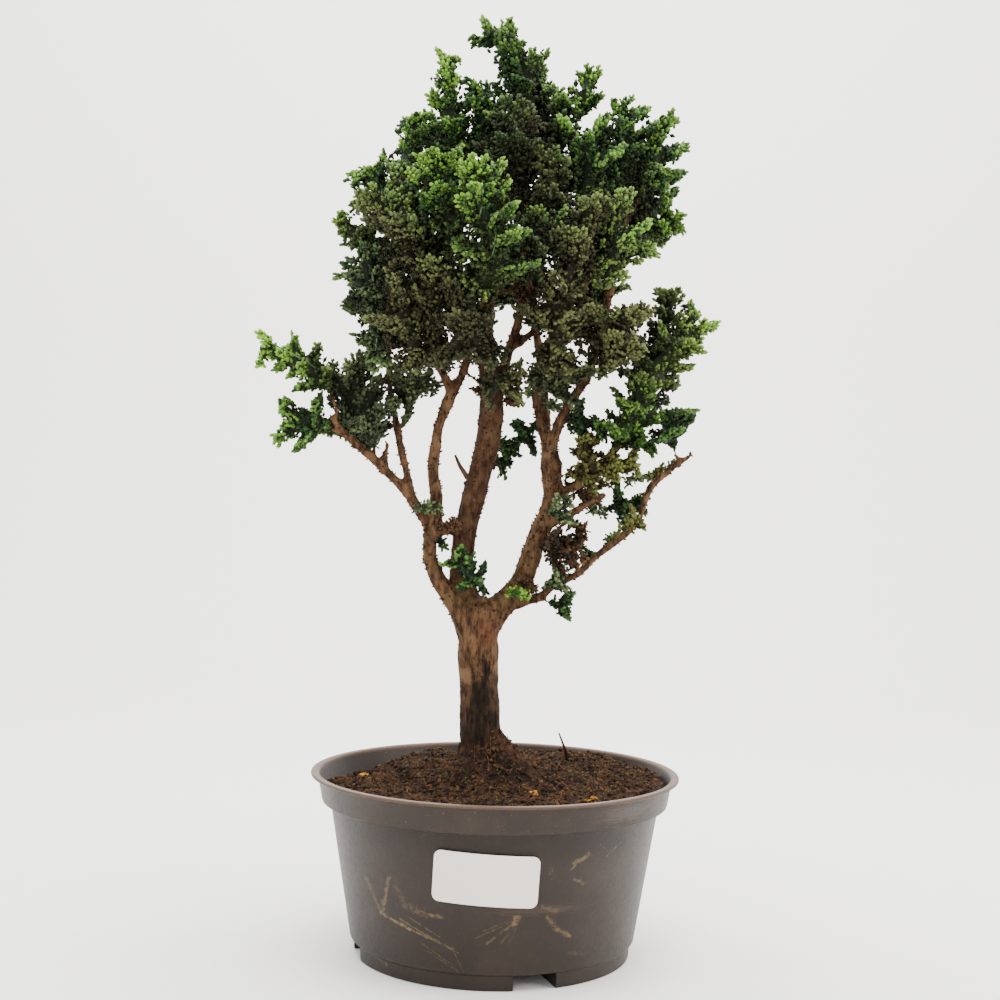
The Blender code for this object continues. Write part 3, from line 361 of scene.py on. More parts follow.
class Surface:
    """A Principled material and the nodes that feed it."""

    def __init__(self, name, roughness, specular=0.5):
        self.material = bpy.data.materials.new(name)
        self.material.use_nodes = True
        self.nodes = self.material.node_tree.nodes
        self.links = self.material.node_tree.links
        self.shader = self.nodes["Principled BSDF"]
        self.shader.inputs["Roughness"].default_value = roughness
        self.shader.inputs["Specular IOR Level"].default_value = specular
        self.place = Signal(self, self.nodes.new("ShaderNodeTexCoord").outputs["Object"])

    def add(self, kind, inputs=(), **settings):
        """A node with the settings and, in order or by name, the inputs."""
        node = self.nodes.new(kind)
        for name, value in settings.items():
            setattr(node, name, value)
        pairs = inputs.items() if isinstance(inputs, dict) else enumerate(inputs)
        for key, value in pairs:
            self.feed(node.inputs[key], value)
        return Signal(self, node.outputs[0])

    def feed(self, socket, value):
        if isinstance(value, Signal):
            self.links.new(value.socket, socket)
        elif isinstance(value, tuple) and socket.type == "RGBA":
            socket.default_value = (*value, 1)
        else:
            socket.default_value = value

    def parts(self):
        """The place's x, y and z, in millimetres."""
        node = self.nodes.new("ShaderNodeSeparateXYZ")
        self.links.new(self.place.socket, node.inputs[0])
        return [Signal(self, out) * (1 / MM) for out in node.outputs]

    def noise(self, size, detail, roughness=0.5, stretch=None):
        """Noise about 0.5, with features of that size in millimetres, on stretched axes or not."""
        place = self.place
        if stretch:
            place = self.add("ShaderNodeVectorMath", [place, stretch], operation="MULTIPLY")
        inputs = {"Vector": place, "Scale": 1 / (size * MM), "Detail": detail}
        inputs["Roughness"] = roughness
        return self.add("ShaderNodeTexNoise", inputs)

    def mix(self, share, low, high):
        """Between two colours, signals or 0 to 255 screen values, by a share from 0 to 1."""
        node = self.nodes.new("ShaderNodeMix")
        node.data_type = "RGBA"
        self.feed(node.inputs[0], share)
        for number, colour in ((6, low), (7, high)):
            value = srgb(*colour) if isinstance(colour, tuple) else colour
            self.feed(node.inputs[number], value)
        return Signal(self, node.outputs[2])

    def tint(self):
        """The colours that a piece brings for its points."""
        return self.add("ShaderNodeAttribute", attribute_name="tint")

    def colour(self, value):
        self.feed(self.shader.inputs["Base Color"], value)

    def rough(self, least, more, grain):
        self.feed(self.shader.inputs["Roughness"], least + more * grain)

    def bump(self, height, distance):
        """Relief of that depth in millimetres."""
        relief = self.add("ShaderNodeBump", {"Height": height, "Distance": distance * MM})
        self.links.new(relief.socket, self.shader.inputs["Normal"])


def placed(name, data):
    """A new object in the scene."""
    made = bpy.data.objects.new(name, data)
    bpy.context.scene.collection.objects.link(made)
    return made


def finished(name, mesh, material, slot, replaced=(), tint=None, smooth=True):
    """The piece of a mesh, with its finish, which rides with the part and stands for nodes."""
    made = placed(name, mesh)
    mesh.materials.clear()
    mesh.materials.append(material)
    if tint is not None:
        layer = mesh.attributes.new("tint", "FLOAT_COLOR", "POINT")
        whole = np.ones((len(tint), 4), np.float32)
        whole[:, :3] = tint
        layer.data.foreach_set("color", whole.ravel())
    if smooth:
        mesh.shade_smooth()
    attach(made, "root")
    if replaced:
        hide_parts(*replaced)


def triangle_mesh(name, verts, triangles):
    """A mesh of points in millimetres and triangles, given as arrays."""
    mesh = bpy.data.meshes.new(name)
    mesh.vertices.add(len(verts))
    mesh.vertices.foreach_set("co", (np.asarray(verts) * MM).astype(np.float32).ravel())
    mesh.loops.add(3 * len(triangles))
    mesh.loops.foreach_set("vertex_index", np.asarray(triangles, np.int32).ravel())
    mesh.polygons.add(len(triangles))
    mesh.polygons.foreach_set("loop_start", np.arange(0, 3 * len(triangles), 3, dtype=np.int32))
    mesh.update(calc_edges=True)
    return mesh


def piece(name, shape, *finish, **more):
    """The piece of a shape, which is an array of points and one of triangles."""
    finished(name, triangle_mesh(name, *shape), *finish, **more)


def node_mesh(name):
    """A merged copy of a node's mesh: its points in millimetres and its triangles."""
    bm = bmesh.new()
    bm.from_mesh(frame["nodes"][name].data)
    bmesh.ops.remove_doubles(bm, verts=bm.verts, dist=NODE_WELD * MM)
    bmesh.ops.triangulate(bm, faces=bm.faces)
    verts = np.array([vert.co for vert in bm.verts]) / MM
    triangles = np.array([[vert.index for vert in face.verts] for face in bm.faces])
    bm.free()
    return verts, triangles


def evaluated(made):
    """The mesh of an object with its modifiers carried out."""
    graph = bpy.context.evaluated_depsgraph_get()
    graph.update()
    return bpy.data.meshes.new_from_object(made.evaluated_get(graph))


def search_tree(verts, triangles):
    return BVHTree.FromPolygons([tuple(v) for v in verts], [tuple(t) for t in triangles])


def joined(parts):
    """Several sets of points and triangles as one."""
    starts = np.cumsum([0] + [len(part[0]) for part in parts])
    triangles = [part[1] + start for part, start in zip(parts, starts)]
    return np.concatenate([part[0] for part in parts]), np.concatenate(triangles)


def ring(place, side, up, radius, sides):
    """Points round a place."""
    turns = (2 * math.pi * k / sides for k in range(sides))
    return [place + radius * (side * math.cos(turn) + up * math.sin(turn)) for turn in turns]


def strips(start, lines, sides):
    """Triangles between closed lines of points that follow each other."""
    triangles = []
    for n in range(lines - 1):
        for k in range(sides):
            a, b = start + n * sides + k, start + n * sides + (k + 1) % sides
            triangles += [(a, b, b + sides), (a, b + sides, a + sides)]
    return triangles


def unit(vectors):
    return vectors / np.maximum(np.linalg.norm(vectors, axis=-1, keepdims=True), 1e-9)


def directions(rng, count, spread=(1, 1, 1)):
    """Random directions, with their three parts spread unevenly or not."""
    return unit(rng.normal(0, 1, (count, 3)) * spread)


def crosswise(ways, rng):
    """Random directions at right angles to others."""
    return unit(np.cross(ways, rng.normal(0, 1, ways.shape)))


def angles(rng, low, high, count):
    """Random angles between two in degrees, as a column in radians."""
    return np.radians(rng.uniform(low, high, count))[:, None]


def leaning(ways, others, angle):
    """Directions that lean towards others by an angle."""
    return unit(ways * np.cos(angle) + others * np.sin(angle))


def patchy(places, size, shift=(0, 0, 0)):
    """Smooth noise about 0 for each place, with features of that size."""
    return np.array([noise.noise(Vector(place) / size + Vector(shift)) for place in places])


def lobe_shape(sides, rings):
    """A round lobe that points along z: rings of points between its two ends, each given by its
    height, its radius and the turn of its first point."""
    verts = [(0, 0, -1)]
    for height, radius, start in rings:
        for k in range(sides):
            turn = start + k * 2 * math.pi / sides
            verts.append((radius * math.cos(turn), radius * math.sin(turn), height))
    verts.append((0, 0, 1))
    end = len(verts) - 1
    last = end - sides
    triangles = []
    for k in range(sides):
        after = (k + 1) % sides
        triangles += [(0, 1 + after, 1 + k), (end, last + k, last + after)]
        for n in range(1, last, sides):
            triangles += [(n + k, n + after, n + sides + k)]
            triangles += [(n + after, n + sides + after, n + sides + k)]
    return np.array(verts), np.array(triangles)


LOBE = lobe_shape(3, ((-0.5, 0.95, 0), (0.5, 1, math.pi / 3)))
BUD = lobe_shape(4, ((0.1, 1, 0),))


def lobes(centres, ahead, side, radii, lengths, flat=0.85, shape=LOBE):
    """Points and triangles of many lobes."""
    up = np.cross(ahead, side)
    local = shape[0][None]
    verts = centres[:, None] + local[..., 0:1] * (side * radii[:, None])[:, None]
    verts = verts + local[..., 1:2] * (up * (radii * flat)[:, None])[:, None]
    verts = verts + local[..., 2:3] * (ahead * lengths[:, None])[:, None]
    start = np.arange(len(centres))[:, None, None] * len(shape[0])
    triangles = shape[1][None] + start
    return verts.reshape(-1, 3), triangles.reshape(-1, 3)


def distance_from(verts, triangles, sources):
    """Length along the surface from the source points to every point."""
    links = {}
    for one, two, three in triangles:
        for a, b in ((one, two), (two, three), (three, one)):
            reach = float(np.linalg.norm(verts[a] - verts[b]))
            links.setdefault(int(a), []).append((int(b), reach))
            links.setdefault(int(b), []).append((int(a), reach))
    far = np.full(len(verts), np.inf)
    queue = [(0.0, int(s)) for s in sources]
    while queue:
        reach, at = heapq.heappop(queue)
        if reach >= far[at]:
            continue
        far[at] = reach
        for other, step in links[at]:
            if reach + step < far[other]:
                heapq.heappush(queue, (reach + step, other))
    far[~np.isfinite(far)] = 0
    return far


def growth(verts, triangles, far):
    """For each triangle, the way in which the distance from the stem grows, its normal and its
    area."""
    a, b, c = (verts[triangles[:, k]] for k in range(3))
    cross = np.cross(b - a, c - a)
    normal = unit(cross)
    rise_b = far[triangles[:, 1]] - far[triangles[:, 0]]
    rise_c = far[triangles[:, 2]] - far[triangles[:, 0]]
    double = np.einsum("ij,ij->i", cross, normal)
    slope = np.cross(c - a, normal) * -rise_b[:, None] + np.cross(b - a, normal) * rise_c[:, None]
    heading = unit(-slope / np.maximum(double, 1e-6)[:, None])
    return heading, normal, np.linalg.norm(cross, axis=1) / 2


def openness(places, normals, tree, rng):
    """How much light reaches each place: the share of rays that leave the plant, with those
    that go up counted more."""
    level, upward = OPEN_WEIGHTS
    found = []
    for place, normal in zip(places, normals):
        start = Vector(place) + Vector(normal) * OPEN_START
        got = 0.0
        most = 0.0
        for _ in range(OPEN_RAYS):
            way = Vector((rng.gauss(0, 1), rng.gauss(0, 1), rng.gauss(0, 1))).normalized()
            way = (way + Vector(normal) * OPEN_OUTWARD).normalized()
            weight = level + upward * way.z
            most += weight
            if tree.ray_cast(start, way, OPEN_REACH)[0] is None:
                got += weight
        found.append(got / max(most, 1e-6))
    return np.array(found)


def blend_tones(tone, share):
    """Colours from shade over full grown to tip as the share goes from 0 to 1."""
    shade, full, tip = (np.array(srgb(*colour)) for colour in TONES[tone])
    low = np.clip(share * 2, 0, 1)[:, None]
    high = np.clip(share * 2 - 1, 0, 1)[:, None]
    return (shade * (1 - low) + full * low) * (1 - high) + tip * high


def crown_blend(tone, share, centres):
    """A spray's colours, blended with those of that part of the crown, so that neighbours run
    into each other. The crown turns from bronze to green upwards and outwards."""
    x, y, z = centres.T
    patches = CROWN_PATCHES * patchy(centres, CROWN_PATCH_SIZE, CROWN_PATCH_SHIFT)
    out = np.hypot((x - CROWN_MIDDLE) / CROWN_WIDE, y / CROWN_DEEP)
    green = np.clip((z - CROWN_GREEN) / 70 + 0.9 * (out - 0.75) + patches, 0, 1)[:, None]
    green = green * green * (3 - 2 * green)
    local = blend_tones("bronze", share) * (1 - green) + blend_tones("green", share) * green
    crown = np.clip((z - CROWN_FOOT) / 25, 0, 1) * np.clip((CROWN_REACH - np.abs(x)) / 20, 0, 1)
    crown = crown[:, None]
    return blend_tones(tone, share) * (1 - CROWN_SHARE * crown) + local * CROWN_SHARE * crown


def spread_out(places, apart):
    """The numbers of places that keep that far from all those kept before them."""
    taken = {}
    kept = []
    for n, place in enumerate(places):
        cell = tuple(int(math.floor(v / apart)) for v in place)
        near = (
            other
            for dx in (-1, 0, 1)
            for dy in (-1, 0, 1)
            for dz in (-1, 0, 1)
            for other in taken.get((cell[0] + dx, cell[1] + dy, cell[2] + dz), ())
        )
        if all(math.dist(place, other) >= apart for other in near):
            taken.setdefault(cell, []).append(tuple(place))
            kept.append(n)
    return np.array(kept)


def even_places(tries, apart, corners, normals, areas, rng):
    """Places spread evenly over triangles, with the triangle and the corners' shares of each."""
    chosen = rng.choice(len(corners), tries, p=areas / areas.sum())
    first = rng.random(tries)
    second = rng.random(tries)
    over = first + second > 1
    first[over], second[over] = 1 - first[over], 1 - second[over]
    share = np.stack([1 - first - second, first, second], axis=1)
    places = np.einsum("ij,ijk->ik", share, corners[chosen])
    kept = spread_out(places + SIDES_APART * normals[chosen], apart)
    return places[kept], chosen[kept], share[kept]


def lobe_tints(tints, shape=LOBE):
    """A colour for every point of lobes, darker at the end that they grow from."""
    foot, rise = LOBE_LIGHT
    local = (shape[0][:, 2] * 0.5 + 0.5)[None, :, None]
    return (tints[:, None] * (foot + rise * local)).reshape(-1, 3)


def shaded_buds(tone, rng, centres, ahead, side, widths, longer, light_and_freshness):
    """Single lobes of those widths and colours, so many times longer than wide."""
    count = len(centres)
    size = rng.uniform(*widths, count)
    verts, triangles = lobes(centres, ahead, side, size, size * longer, shape=BUD)
    tint = crown_blend(tone, rng.uniform(*light_and_freshness, count), centres)
    return verts, triangles, lobe_tints(tint, BUD)


def cover_lobes(tone, heading, corners, normals, areas, rng):
    """Single lobes in painted shade colours close to a spray's solid, which hide its flat faces."""
    tries = int(COVER_TRIES * areas.sum() / COVER_APART**2)
    places, chosen, _ = even_places(tries, COVER_APART, corners, normals, areas, rng)
    lift = angles(rng, 5, 50, len(places))
    ahead = unit(heading[chosen] + rng.normal(0, 0.5, places.shape))
    ahead = leaning(ahead, normals[chosen], lift)
    side = unit(np.cross(normals[chosen], ahead))
    return shaded_buds(tone, rng, places, ahead, side, *COVER_BUDS)


def gap_lobes(places, normals, light, tree, tone, rng):
    """Lobes in painted shade colours between the sprays, in gaps with foliage on nearly all sides."""
    picked = np.repeat(np.flatnonzero((light < GAP_LIGHT) & (places[:, 2] > GAP_FOOT)), 2)
    count = len(picked)
    out = rng.uniform(0, GAP_REACH, count)[:, None]
    centres = places[picked] + normals[picked] * out + rng.normal(0, GAP_JITTER, (count, 3))
    ways = unit(rng.normal(0, 1, (count, GAP_RAYS, 3)))
    kept = []
    for centre, around in zip(centres, ways):
        place = Vector(centre)
        met = sum(tree.ray_cast(place, Vector(way), GAP_WIDTH)[0] is not None for way in around)
        kept.append(met > GAP_SIDES and tree.find_nearest(place)[3] < GAP_NEAR)
    centres = centres[np.array(kept, bool)]
    ahead = directions(rng, len(centres))
    return shaded_buds(tone, rng, centres, ahead, crosswise(ahead, rng), *GAP_BUDS)


def sprigs(places, heading, normals, rng):
    """Places, headings, sides and sizes of the lobes of one sprig for each place, and how far
    along the sprig they are, from 0 to 1."""
    count = len(places)
    ahead = leaning(heading, normals, angles(rng, *SPRIG_LIFT, count))
    side = unit(np.cross(normals, ahead))
    roll = angles(rng, -SPRIG_ROLL, SPRIG_ROLL, count)
    side = leaning(side, np.cross(ahead, side), roll)
    size = rng.uniform(*SPRIG_SIZE, count)
    start = places - normals * SPRIG_SUNK - ahead * (SPRIG_BACK * size)[:, None]
    groups = []
    for along, aside, turn, share in SPRIG:
        jitter = rng.normal(0, LOBE_JITTER, (count, 3))
        centre = start + ahead * (along * size)[:, None] + side * (aside * size)[:, None]
        turn = np.radians(turn + rng.normal(0, LOBE_TURN, count))[:, None]
        ways, sides = leaning(ahead, side, turn), leaning(side, -ahead, turn)
        sizes = size * share * rng.uniform(*LOBE_SIZE, count)
        groups.append((centre + jitter, ways, sides, sizes, np.full(count, along / SPRIG[-1][0])))
    return [np.concatenate(group) for group in zip(*groups)]


def foliage_material():
    surface = Surface("foliage", 0.5, 0.12)
    grain = surface.noise(1.1, 3)
    pale = grain.ramp(0.4, 0.75) * 0.06
    surface.colour(surface.mix(pale, surface.tint(), (120, 130, 70)))
    surface.rough(0.5, 0.25, grain)
    surface.bump(grain, 0.18)
    return surface.material


def grown_sprigs(node, tone, rng, places, heading, normals, light, along):
    """The sprigs of a spray. Their lobes get painted light where more light comes and where they
    face up, and painted shade where little light comes. They are fresher towards the ends of
    the spray and of the sprig, and in patches."""
    centres, ways, sides, sizes, order = sprigs(places, heading, normals, rng)
    light, along, upward = (np.tile(v, len(SPRIG)) for v in (light, along, normals[:, 2]))
    verts, triangles = lobes(centres, ways, sides, LOBE_RADIUS * sizes, LOBE_LENGTH * sizes)
    causes = (light, along**2, order, patchy(centres, FRESH_PATCH), upward)
    # The light and upward parts paint light and shade; the rest is fresher growth.
    fresh = sum(weight * cause for weight, cause in zip(LIT_AND_FRESH_WEIGHTS, causes)) - LIT_AND_FRESH_LESS
    fresh += rng.normal(0, LIT_AND_FRESH_SPREAD, len(fresh)) - SHADED.get(node, 0)
    return verts, triangles, lobe_tints(crown_blend(tone, np.clip(fresh, 0, 1), centres))


def spray_piece(node, tone, shape, tree, wood_tree, material):
    """The lobed sprigs of one spray, over a slim skin of its solid in painted shade."""
    verts, triangles = shape
    seed = sum(ord(letter) for letter in node)
    rng = np.random.default_rng(seed)
    from_wood = [wood_tree.find_nearest(Vector(v))[3] for v in verts]
    far = distance_from(verts, triangles, np.argsort(from_wood)[:STEM_POINTS])
    heading, normals, areas = growth(verts, triangles, far)
    spread = (verts[triangles], normals, areas, rng)
    count = max(SPRAY_LEAST, int(areas.sum() / SPRIG_AREA))
    apart = math.sqrt(SPRIG_APART * areas.sum() / count)
    places, chosen, share = even_places(SPRIG_TRIES * count, apart, *spread)
    along = np.einsum("ij,ij->i", share, far[triangles[chosen]]) / max(far.max(), 1)
    light = openness(places, normals[chosen], tree, random.Random(seed))
    gaps = gap_lobes(places, normals[chosen], light, tree, tone, rng)
    kept = rng.random(len(places)) < np.clip(KEPT_DARK + KEPT_LIGHT * light, 0, 1)
    values = (places, heading[chosen], normals[chosen], light, along)
    grown = grown_sprigs(node, tone, rng, *(value[kept] for value in values))
    cover = cover_lobes(tone, heading, *spread)
    # The skin's dark colour is painted shade, seen between the lobes.
    dark = np.array(srgb(*TONES[tone][0])) * SKIN_LIGHT
    skin = (slimmed(verts, triangles), triangles, np.tile(dark, (len(verts), 1)))
    sets = (skin, gaps, cover, grown)
    tint = np.concatenate([tints for _, _, tints in sets])
    piece(node + "_lobes", joined(sets), material, "foliage_" + tone, (node,), tint)


def slimmed(verts, triangles):
    """The points of a solid drawn in towards their neighbours, which rounds its tips off."""
    pairs = np.concatenate([triangles[:, (0, 1)], triangles[:, (1, 2)], triangles[:, (2, 0)]])
    own, drawn = SKIN_SHARES
    for _ in range(SKIN_STEPS):
        total = np.zeros_like(verts)
        count = np.zeros(len(verts))
        for one, other in (pairs.T, pairs.T[::-1]):
            np.add.at(total, one, verts[other])
            np.add.at(count, one, 1)
        verts = own * verts + drawn * total / count[:, None]
    return verts


def foliage():
    slots = {part["node"]: part["material_slot"] for part in frame["record"]["subparts"]}
    shapes = {name: node_mesh(name) for name in frame["nodes"] if name not in ("label", "pot")}
    trees = search_tree(*joined(shapes.values())), search_tree(*shapes["wood"])
    material = foliage_material()
    for node in sorted(shapes):
        if node.startswith("spray_"):
            tone = slots[node].removeprefix("foliage_")
            spray_piece(node, tone, shapes[node], *trees, material)
    tufts(material)
    piece("ribs", stems(RIBS), plain_material("rib", (58, 78, 52), (96, 118, 82)), "foliage_blue")


def tufts(material):
    """Small tufts and withered scraps on the limbs, each a few sprigs round a line."""
    for number, (start, end, depth, wide, count, tone) in enumerate(TUFTS):
        rng = np.random.default_rng(TUFT_SEED + number)
        start, end = (np.array((x, depth, z)) for x, z in (start, end))
        share = rng.random((count, 1))
        out = directions(rng, count, (1, 0.8, 1))
        places = start + (end - start) * share + out * wide * rng.random((count, 1)) ** 0.5
        heading = unit(out + 0.7 * unit(end - start) + (0, 0, 0.25))
        centres, ways, sides, sizes, order = sprigs(places, heading, crosswise(heading, rng), rng)
        radius, length, flat = TUFT_LOBES
        shape = lobes(centres, ways, sides, radius * sizes, length * sizes, flat)
        fresh = 0.2 + 0.5 * order + 0.25 * rng.random(len(order))
        tint = lobe_tints(blend_tones(tone, np.clip(fresh, 0, 1)))
        piece("tuft_%02d" % number, shape, material, "foliage_" + tone, (), tint)


def tube(points, radius):
    """Points and triangles of a stem along a line, which thins to its end."""
    points = [Vector(p) for p in points]
    sides, last = STEM_SIDES, len(points) - 1
    verts = []
    for n, point in enumerate(points):
        way = (points[min(n + 1, last)] - points[max(n - 1, 0)]).normalized()
        side = way.orthogonal().normalized()
        thick = radius * (1 - STEM_THINS * n / last)
        verts += ring(point, side, way.cross(side), thick, sides)
    triangles = strips(0, len(points), sides)
    end = sides * last
    for k in range(1, sides - 1):
        triangles += [(0, k + 1, k), (end, end + k, end + k + 1)]
    return np.array(verts), np.array(triangles)


def stems(lines):
    return joined([tube(points, radius) for radius, points in lines])


def bark_material():
    """Brown bark, greenish on the trunk, darker towards the soil but less so at the sides, and red in
    one patch.
    """
    surface = Surface("bark", 0.85, 0.1)
    x, _, z = surface.parts()
    grain = surface.noise(2.6, 6, 0.7, (1, 1, 0.3))
    blotch = surface.noise(12, 4)
    flakes = surface.noise(1.1, 3, 0.6, (1, 1, 0.45))
    ragged = (blotch - 0.5) * 46 + (grain - 0.5) * 22
    tone = surface.mix(grain.ramp(0.36, 0.66), (34, 22, 14), (98, 71, 48))
    tone = surface.mix(blotch.ramp(0.5, 0.72) * 0.7, tone, (114, 88, 62))
    green = (blotch * 0.6 + z.ramp(150, 175) * 0.25).ramp(0.45, 0.75) * z.ramp(236, 190) * 0.5
    tone = surface.mix(green, tone, (58, 48, 24))
    reddish = x.near(-5, 2, 8) * z.near(163, 2, 9) * flakes.ramp(0.35, 0.55) * 0.45
    tone = surface.mix(reddish, tone, (96, 50, 34))
    centre = x.near(-12, 9, 16) * z.ramp(185, 205) * z.ramp(320, 290) * 0.5
    tone = surface.mix(centre, tone, (44, 26, 18))
    # Darker towards the soil, less so on the left side and a little on the right.
    low_tone = surface.mix(grain.ramp(0.35, 0.7), (13, 9, 5), (48, 36, 25))
    sides_lighter = x.ramp(-12, -15) * z.ramp(112, 124) + x.ramp(-7, -2) * 0.35
    low = (z + ragged + (x + 4).math("ABSOLUTE") * 0.7).ramp(152, 138)
    tone = surface.mix(low - sides_lighter * 0.7, tone, low_tone)
    pale = flakes.ramp(0.62, 0.75) * 0.35 * z.ramp(120, 175)
    surface.colour(surface.mix(pale, tone, (136, 100, 70)))
    surface.rough(0.75, 0.2, grain)
    surface.bump(grain * 0.7 + flakes * 0.3, 1.3)
    return surface.material


def wood_mesh():
    """The wood's solid, remeshed fine, rounded and roughened as bark."""
    source = placed("wood_source", frame["nodes"]["wood"].data.copy())
    step = source.modifiers.new("fine", "REMESH")
    step.mode = "VOXEL"
    step.voxel_size = WOOD_VOXEL[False] * MM
    mesh = evaluated(source)
    bpy.data.objects.remove(source)
    bm = bmesh.new()
    bm.from_mesh(mesh)
    for _ in range(WOOD_ROUNDINGS):
        bmesh.ops.smooth_vert(bm, verts=bm.verts, factor=0.5, use_axis_x=True, use_axis_y=True,
                              use_axis_z=True)
    bm.normal_update()
    for vert in bm.verts:
        vert.co += vert.normal * MM * bark_height(*(vert.co / MM))
    bm.to_mesh(mesh)
    bm.free()
    return mesh


def bark_height(x, y, z):
    """How far the bark stands out of the smoothed wood at a place, more so on the trunk."""
    rough = noise.fractal(Vector((x, y, z * 0.4)) / BARK_GRAIN, *BARK_FRACTAL)
    broad = noise.noise(Vector((x, y, z * 0.6)) / BARK_SWELL)
    trunk = max(0.0, min(1.0, (TRUNK_TOP - z) / TRUNK_FADE))
    return rough * (0.42 + 0.35 * trunk) + broad * 0.5 * trunk + BARK_OUT


def point_values(mesh, name):
    """The positions or normals of a mesh's points, one a row."""
    values = np.empty(len(mesh.vertices) * 3, np.float32)
    mesh.vertices.foreach_get(name, values)
    return values.reshape(-1, 3)


def bark_scales(mesh):
    """Short stubs and flakes left by old leaves, all over the limbs above the trunk."""
    rng = np.random.default_rng(4)
    count = SCALES[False]
    co = point_values(mesh, "co") / MM
    weight = np.clip((co[:, 2] - 150) / 60, 0.06, 1)
    chosen = rng.choice(len(co), count, p=weight / weight.sum())
    places, normals = co[chosen], point_values(mesh, "normal")[chosen]
    upward = square_to(np.array([0, 0, 1.0]) + rng.normal(0, 0.25, (count, 3)), normals)
    ahead = leaning(upward, normals, angles(rng, 10, 70, count))
    side = unit(np.cross(normals, ahead) + rng.normal(0, 0.1, (count, 3)))
    side = square_to(side, ahead)
    size = rng.uniform(0.4, 1.0, count)
    lengths = size * rng.uniform(0.9, 1.7, count)
    return lobes(places + ahead * 0.3, ahead, side, size, lengths, 0.6, BUD)


def square_to(ways, others):
    """Directions turned until they are at right angles to others."""
    return unit(ways - others * np.einsum("ij,ij->i", ways, others)[:, None])


def wood():
    mesh = wood_mesh()
    bark = bark_material()
    scales = bark_scales(mesh)
    finished("wood_bark", mesh, bark, "bark", ("wood",))
    piece("bark_scales", scales, plain_material("bark_scale", (28, 16, 11), (84, 55, 38), 0.9), "bark")
    piece("twigs", stems(TWIGS), bark, "bark")


def turned(profile, steps):
    """A closed bmesh, in metres, turned from a profile of radius and height in millimetres."""
    bm = bmesh.new()
    chain = [bm.verts.new((radius * MM, 0, height * MM)) for radius, height in profile]
    edges = [bm.edges.new((a, b)) for a, b in zip(chain, chain[1:] + chain[:1])]
    bmesh.ops.spin(bm, geom=chain + edges, cent=(0, 0, 0), axis=(0, 0, 1), angle=2 * math.pi,
                   steps=steps, use_merge=True)
    bmesh.ops.remove_doubles(bm, verts=bm.verts, dist=0.001 * MM)
    bmesh.ops.recalc_face_normals(bm, faces=bm.faces)
    return bm


def object_of(name, bm):
    mesh = bpy.data.meshes.new(name)
    bm.to_mesh(mesh)
    bm.free()
    return placed(name, mesh)


def cut(target, cutters):
    """Cuts the other objects from the target and removes them."""
    group = bpy.data.collections.new("cutters")
    for cutter in cutters:
        group.objects.link(cutter)
    step = target.modifiers.new("cut", "BOOLEAN")
    step.operation = "DIFFERENCE"
    step.operand_type = "COLLECTION"
    step.collection = group
    mesh = evaluated(target)
    for thing in (*cutters, target):
        bpy.data.objects.remove(thing)
    bpy.data.collections.remove(group)
    return mesh


def pot_profile():
    """Round the shell's section: up the outside, over the lip, and down the inside. Each corner
    has its radius, its height and the steps off it that round it."""
    lip, ledge = RIM_HEIGHT - LIP_THICKNESS, SKIRT_FOOT_HEIGHT + WALL
    corners = (
        (FOOT_RADIUS, 0, ((-1, 0), (-0.2, 0.3), (0, 1))),
        (FOOT_RADIUS, FOOT_HEIGHT, ((0.3, -0.8), (1, -0.1))),
        (WALL_FOOT_RADIUS, FOOT_HEIGHT, ((-0.8, 0), (-0.1, 0.5), (0.2, 1.2))),
        (WALL_TOP_RADIUS, SKIRT_FOOT_HEIGHT, ((-0.3, -0.9), (0.4, -0.1))),
        (SKIRT_FOOT_RADIUS, SKIRT_FOOT_HEIGHT, ((-1.1, 0), (-0.3, 0.4), (0, 1.2))),
        (SKIRT_TOP_RADIUS, lip, ((-0.2, -0.9), (0.5, -0.1))),
        (RIM_RADIUS, lip, ((-0.5, 0), (-0.1, 0.3), (0, LIP_THICKNESS / 2))),
        (RIM_RADIUS, RIM_HEIGHT, ((-0.1, -0.3), (-0.5, 0))),
        (LIP_INNER_RADIUS, RIM_HEIGHT, ((0.7, 0), (0.1, -0.3), (-0.3, -1))),
        (SKIRT_FOOT_RADIUS - WALL, ledge, ((0, 0.8), (-0.8, 0))),
        (WALL_TOP_RADIUS - WALL, ledge, ((0, 0),)),
        (WALL_FOOT_RADIUS - WALL, FOOT_HEIGHT + FLOOR, ((0, 0),)),
    )
    run = [(radius + out, height + up) for radius, height, steps in corners for out, up in steps]
    return [(0, 0), *run, (0, FOOT_HEIGHT + FLOOR)]


